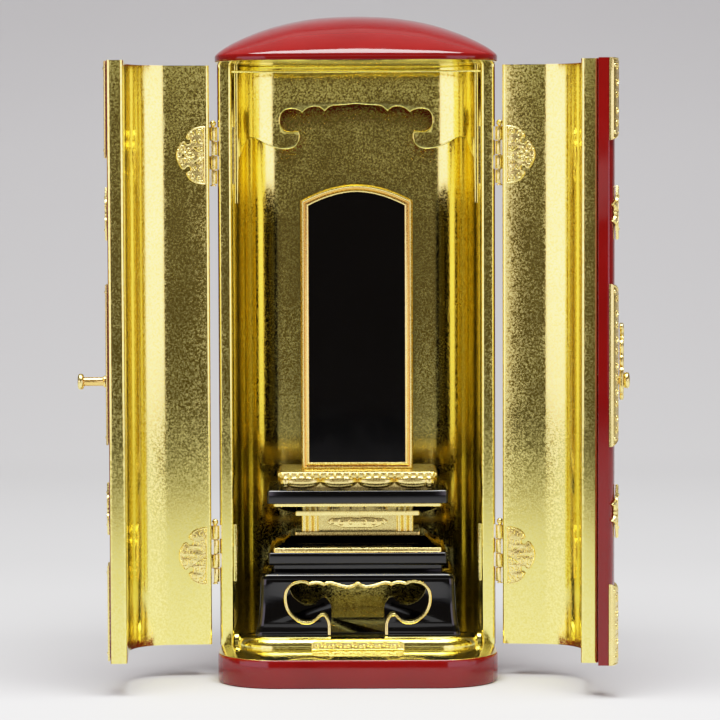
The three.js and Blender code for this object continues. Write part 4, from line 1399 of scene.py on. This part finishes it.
def buildFittings():
    # five on each door: over the meeting strip on the right one, flat beside it on the left one
    half = strip["half"] - 0.1
    centre = doorMiddle - 1
    reach = fitting["centreHalf"]
    notch = fitting["notch"]
    near, far = fitting["near"], fitting["far"]
    for side, left, right, length, thick in (
        ("right", -half, half, fitting["corner"], fitting["thick"]),
        ("left", near, far, fitting["leftCorner"], fitting["flatThick"]),
    ):
        wrap = side == "right"
        front = -thick / 2
        plates = {
            "top": (doorHead - length, doorHead, notch, 0),
            "centre": (centre - reach, centre + reach, notch, notch),
            "bottom": (doorFoot, doorFoot + length, 0, notch),
        }
        for word, (low, high, lowNotch, highNotch) in plates.items():
            outline = notchedPlate(left, right, low, high, lowNotch, highNotch)
            lines = vine(left + 0.8, right - 0.8, low + lowNotch + 1, high - highNotch - 1, front)
            nails = plateNails(left, right, low, high, 1.5)
            obj = fittingPlate(f"{side}{word.title()}Fitting", outline, thick, lines, nails, wrap)
            hangOnDoor(obj, side, "gilt_brass", f"{side}_{word}_fitting")
        x0 = 0 if wrap else (near + far) / 2 + 0.6
        for word, up in (("upper", 1), ("lower", -1)):
            z0 = doorMiddle + up * fitting["flower"]
            obj = fittingPlate(f"{side}{word.title()}Flower", shifted(flower, x0, z0), thick,
                               flowerLines(x0, z0, front), [[x0, z0 + 6.4], [x0, z0 - 6.4]], wrap)
            hangOnDoor(obj, side, "gilt_brass", f"{side}_{word}_flower")


buildStrip()
buildFittings()
print("door fittings nailed on")

latch = {
    "fromMeeting": 9.2, "height": 123.7, "under": 8.2, "thick": 1.4, "stem": 1.75, "hookAt": 18.4,
    "slot": 2.15, "line": 0.32, "rim": 0.3, "rimInset": 0.5,
    "eyes": [[0, 0, 2.05], [0, 8.0, 0.9], [0, 12.6, 1.1], [2.9, 15.6, 0.6]],
    "curls": [
        (2.9, -2.6, 1.1, 60, 1.2, 1, 18), (-2.9, -2.6, 1.1, 120, 1.2, -1, 18),
        (2.2, 8.0, 1.0, 270, 1.2, 1, 14), (-2.2, 8.0, 1.0, 270, 1.2, -1, 14),
        (2.6, 13.2, 1.0, 90, 1.2, 1, 14), (-2.6, 13.9, 0.9, 90, 1.1, -1, 14),
        (3.6, 18.6, 1.0, 270, 1.2, 1, 14), (1.2, 21.6, 0.7, 180, 1.1, 1, 12), (0, -6.4, 0.8, 0, 1.2, 1, 12),
    ],
}
post = {
    # [radius, height]: the base above its seat, then the head above the plate that it holds
    "seat": {"left": 1.3, "right": 0.3},
    "base": [[2.2, 0], [2.4, 0.15], [2.4, 0.55], [2.2, 0.72], [1.9, 0.9], [latch["stem"], 1.2]],
    "head": [
        [latch["stem"], -0.5], [latch["stem"] + 0.1, -0.1], [2.6, 0], [3.0, 0.3], [3.2, 0.8], [3.2, 1.4],
        [3.0, 1.9], [2.6, 2.2], [2.0, 2.35], [1.0, 2.4], [0.2, 2.4],
    ],
}


def buildPosts():
    under = latch["under"] + latch["thick"] + 0.3
    for side, seat in post["seat"].items():
        profile = [[radius, seat + height] for radius, height in post["base"]]
        profile += [[radius, under + height] for radius, height in post["head"]]
        obj = turned(f"{side}Post", profile, 40)
        moved(obj, turn=(quarterTurn, 0, 0))
        moved(obj, (latch["fromMeeting"] - hingeX, -doorReach, latch["height"]))
        smooth(dress(obj, giltBrass))
        hangOnDoor(obj, side, "gilt_brass", f"{side}_post")


def buildLatch():
    hookAt, slot = latch["hookAt"], latch["slot"]
    outline = [
        [-2.2, -7.2, 0, -7.8], [2.2, -7.2, 2.0, -5.4], [5.6, -4.4, 4.6, 0], [5.4, 4.2, 3.0, 5.6],
        [4.8, 7.2, 3.6, 9.4], [2.4, 11.0, 3.4, 12.6], [5.4, 15.6, 4.8, hookAt], [4.4, 22.0, 0, 22.6],
        [-2.6, 22.0], [-3.4, 21.2, -3.0, hookAt + slot - 0.4], [0, hookAt + slot],
    ]
    outline += arcRows(0, hookAt, slot, 90, -90, 6)
    outline += [
        [-3.2, hookAt - slot - 0.5], [-5.2, 13.4, -3.4, 12.0], [-2.4, 10.6, -3.6, 9.4],
        [-4.8, 7.2, -3.0, 5.6], [-5.4, 4.2, -4.6, 0], [-5.6, -4.4, -2.0, -5.4],
    ]
    thick = latch["thick"]
    front = -thick / 2
    plate = outlineMesh("latch", outline, thick, 0.25, latch["eyes"], resolution=6)
    curls = [scroll(*curl, front, steps) for *curl, steps in latch["curls"]]
    rim = rimWire(outline, latch["rimInset"], front, latch["rim"], 0.8)
    obj = joined("latchHook", [plate, wire("curls", curls, latch["line"], 0.9, 1), rim])
    moved(obj, (latch["fromMeeting"] - hingeX, front - doorReach - latch["under"], latch["height"]))
    smooth(dress(obj, giltBrass), 40)
    return hangOnDoor(obj, "right", "gilt_brass", "latch_plate", body="latch")


ornament = {
    "half": 18.8, "height": 3.7, "corner": 1.6, "thick": 0.9, "gap": 0.3,
    "scrolls": 11, "line": 0.44, "rim": 0.3,
}


def buildOrnament():
    half, height, corner = ornament["half"], ornament["height"], ornament["corner"]
    base = boxOf("front_ornament")[0].z
    top = base + height
    outline = [
        [-half, base], [half, base], [half, top - corner], [half - 0.4, top, half - 2.2, top],
        [2.2 - half, top], [0.4 - half, top, -half, top - corner],
    ]
    plate = outlineMesh("plaque", outline, ornament["thick"], 0.15, resolution=6)
    front = -ornament["thick"] / 2
    pitch = (2 * half - 3) / ornament["scrolls"]
    middle = base + height / 2
    lines = []
    for k in range(ornament["scrolls"]):
        x = -half + 1.5 + pitch * (k + 0.5)
        up = 1 if k % 2 else -1
        lines.append(scroll(x - pitch * 0.2, middle + up * 0.35, 1.05, 90 * up, 1.3, up, front, 14))
        lines.append(scroll(x + pitch * 0.32, middle - up * 0.45, 0.75, -90 * up, 1.2, up, front, 12))
    rim = rimWire(outline, 0.35, front, ornament["rim"], 1.0)
    obj = joined("frontOrnament", [plate, wire("curls", lines, ornament["line"], 1.1, 1), rim])
    moved(obj, (0, floorLow.y - ornament["gap"] + front, 0))
    smooth(dress(obj, giltBrass), 40)
    return hang(obj, "cabinet", "gilt_brass", "front_ornament")


buildPosts()
buildLatch()
buildOrnament()
print("latch, posts and ornament made")


studio = {
    "distance": 1271, "height": 195, "lens": 152.5, "pitch": 3.02, "roll": -0.2, "shift": 0.0042,
    "panelNear": (0.46, -1.45), "panelFar": (1.45, -0.40), "panelTop": 0.45, "panelGlow": 1.5,
    "panelTint": (1.0, 0.87, 1.1), "room": (0.15, 0.13, 0.12),
    "card": (0.09, 0.074, 0.062), "cardPlace": (0, -1.5, 0.6), "cardSize": (1.0, 1.2),
    # the paper's grey at each run along the sweep (Y + Z, in metres): painted light and shade that sets the
    # backdrop's falloff against the lamps
    "paper": [
        (-1.2, 0.04), (-0.85, 0.15), (-0.6, 0.42), (-0.1, 0.525), (0.07, 0.488), (0.206, 0.50),
        (0.372, 0.517), (1.0, 0.74), (1.41, 0.726), (1.71, 0.714), (1.94, 0.657), (3.0, 0.60),
    ],
    "shoulder": [(0, 0), (0.25, 0.48), (0.375, 0.65), (0.5, 0.77), (0.685, 0.90), (1, 0.98)], "white": 2.0,
    # name: place, target, width, height, glow
    "lights": {
        "topPanel": ((0, -0.35, 1.3), (0, -0.35, 0), 1.2, 0.7, 14.0),
        "crownPanel": ((0, -1.48, 0.42), (0, 0, 0.42), 0.9, 0.12, 0.7),
        "rearPanel": ((0, 0.75, 1.5), (0, 0.75, 0), 2.4, 1.5, 0.2),
    },
}


def buildCamera():
    data = bpy.data.cameras.new("studioCamera")
    data.lens = studio["lens"]
    data.sensor_width = 36
    data.shift_x = studio["shift"]
    data.clip_start = 0.01
    camera = bpy.data.objects.new("studioCamera", data)
    bpy.context.scene.collection.objects.link(camera)
    place = Matrix.Translation((0, -studio["distance"] * mm, studio["height"] * mm))
    look = Matrix.Rotation(math.radians(90 - studio["pitch"]), 4, "X")
    roll = Matrix.Rotation(math.radians(studio["roll"]), 4, "Z")
    camera.matrix_world = place @ look @ roll
    bpy.context.scene.camera = camera


def paperMaterialWithPaintedFalloff():
    # white paper with light and shade painted into its grey along the sweep: near black towards its front
    # edge, a little darker round the cabinet, lightest where it starts to curve up, greying above
    material, tree, shader, position = newMaterial("paperWithPaintedLightFalloff")
    parts = node(tree, "ShaderNodeSeparateXYZ")
    tree.links.new(position, parts.inputs[0])
    run = arithmetic(tree, "ADD", parts.outputs["Y"], parts.outputs["Z"])
    stops = studio["paper"]
    first, last = stops[0][0], stops[-1][0]
    ramp = node(tree, "ShaderNodeValToRGB")
    tree.links.new(spread(tree, run, 0, 1, first, last), ramp.inputs["Fac"])
    marks = ramp.color_ramp.elements
    while len(marks) < len(stops):
        marks.new(0.5)
    for mark, (place, tone) in zip(marks, stops):
        mark.position = (place - first) / (last - first)
        mark.color = (tone, tone, tone * 1.01, 1)
    tree.links.new(ramp.outputs["Color"], shader.inputs["Base Color"])
    shader.inputs["Roughness"].default_value = 0.7
    shader.inputs["Specular IOR Level"].default_value = 0.1
    return material


sweep = {"width": 6, "front": -2.1, "back": 0.9, "radius": 0.8, "steps": 16, "rise": 2.2}


def buildPaper():
    # one sheet: flat under the cabinet, then curving up behind it
    deselectAll()
    middle = (sweep["front"] + sweep["back"]) / 2
    bpy.ops.mesh.primitive_plane_add(size=1, location=(0, middle, 0))
    paper = bpy.context.object
    paper.name = "paperSweep"
    paper.scale = (sweep["width"], sweep["back"] - sweep["front"], 1)
    applyPlace(paper)
    pick(paper, "EDGE", lambda a, b: min(a.y, b.y) * mm > sweep["back"] - 0.1)
    steps = sweep["steps"]
    chord = 2 * sweep["radius"] * math.sin(quarterTurn / steps / 2)
    for step in range(steps):
        angle = quarterTurn * (step + 0.5) / steps
        extrude((0, chord * math.cos(angle), chord * math.sin(angle)))
    extrude((0, 0, sweep["rise"]))
    leaveEdit()
    dress(paper, paperMaterialWithPaintedFalloff())
    smooth(paper, 30)


def buildCard():
    # a dark card behind the camera, between the side panels
    deselectAll()
    bpy.ops.mesh.primitive_plane_add(size=1, location=studio["cardPlace"])
    card = bpy.context.object
    card.name = "darkCard"
    card.scale = (*studio["cardSize"], 1)
    card.rotation_euler.x = -quarterTurn
    applyPlace(card)
    material, _, shader, _ = newMaterial("darkCard")
    shader.inputs["Base Color"].default_value = (0, 0, 0, 1)
    shader.inputs["Specular IOR Level"].default_value = 0
    shader.inputs["Emission Color"].default_value = (*studio["card"], 1)
    shader.inputs["Emission Strength"].default_value = 1
    dress(card, material)
    card.visible_camera = False
    card.visible_shadow = False


def softenHighlights():
    # a camera's soft shoulder, so that bright leaf stays cream
    settings = bpy.context.scene.view_settings
    settings.view_transform = "Standard"
    settings.use_curve_mapping = True
    mapping = settings.curve_mapping
    mapping.white_level = [studio["white"]] * 3
    points = mapping.curves[3].points
    stops = studio["shoulder"]
    while len(points) < len(stops):
        points.new(0.5, 0.5)
    for point, (place, level) in zip(points, stops):
        point.location = (place, level)
    mapping.update()


def softLight(name, place, target, width, height, glow, tint=(1, 1, 1)):
    data = bpy.data.lights.new(name, "AREA")
    data.shape = "RECTANGLE"
    data.size = width
    data.size_y = height
    data.energy = glow * 4 * width * height
    data.color = tint
    light = bpy.data.objects.new(name, data)
    bpy.context.scene.collection.objects.link(light)
    light.location = place
    light.rotation_mode = "QUATERNION"
    light.rotation_quaternion = (Vector(target) - Vector(place)).to_track_quat("-Z", "Y")
    light.visible_camera = False


def buildLights():
    # two tall panels that leave a dark gap round the camera, and broad ones overhead
    near, far = Vector(studio["panelNear"]), Vector(studio["panelFar"])
    middle = (near + far) / 2
    across = (far - near).orthogonal()
    for word, side in signs.items():
        place = (side * middle.x, middle.y, studio["panelTop"] / 2)
        facing = (side * (middle.x - abs(across.x)), middle.y + abs(across.y), place[2])
        softLight(f"{word}Panel", place, facing, (far - near).length, studio["panelTop"],
                  studio["panelGlow"], studio["panelTint"])
    for name, values in studio["lights"].items():
        softLight(name, *values)
    world = bpy.data.worlds.new("studioWorld")
    world.use_nodes = True
    world.node_tree.nodes["Background"].inputs["Color"].default_value = (*studio["room"], 1)
    bpy.context.scene.world = world


buildCamera()
buildPaper()
buildCard()
buildLights()
softenHighlights()
print("studio lit")
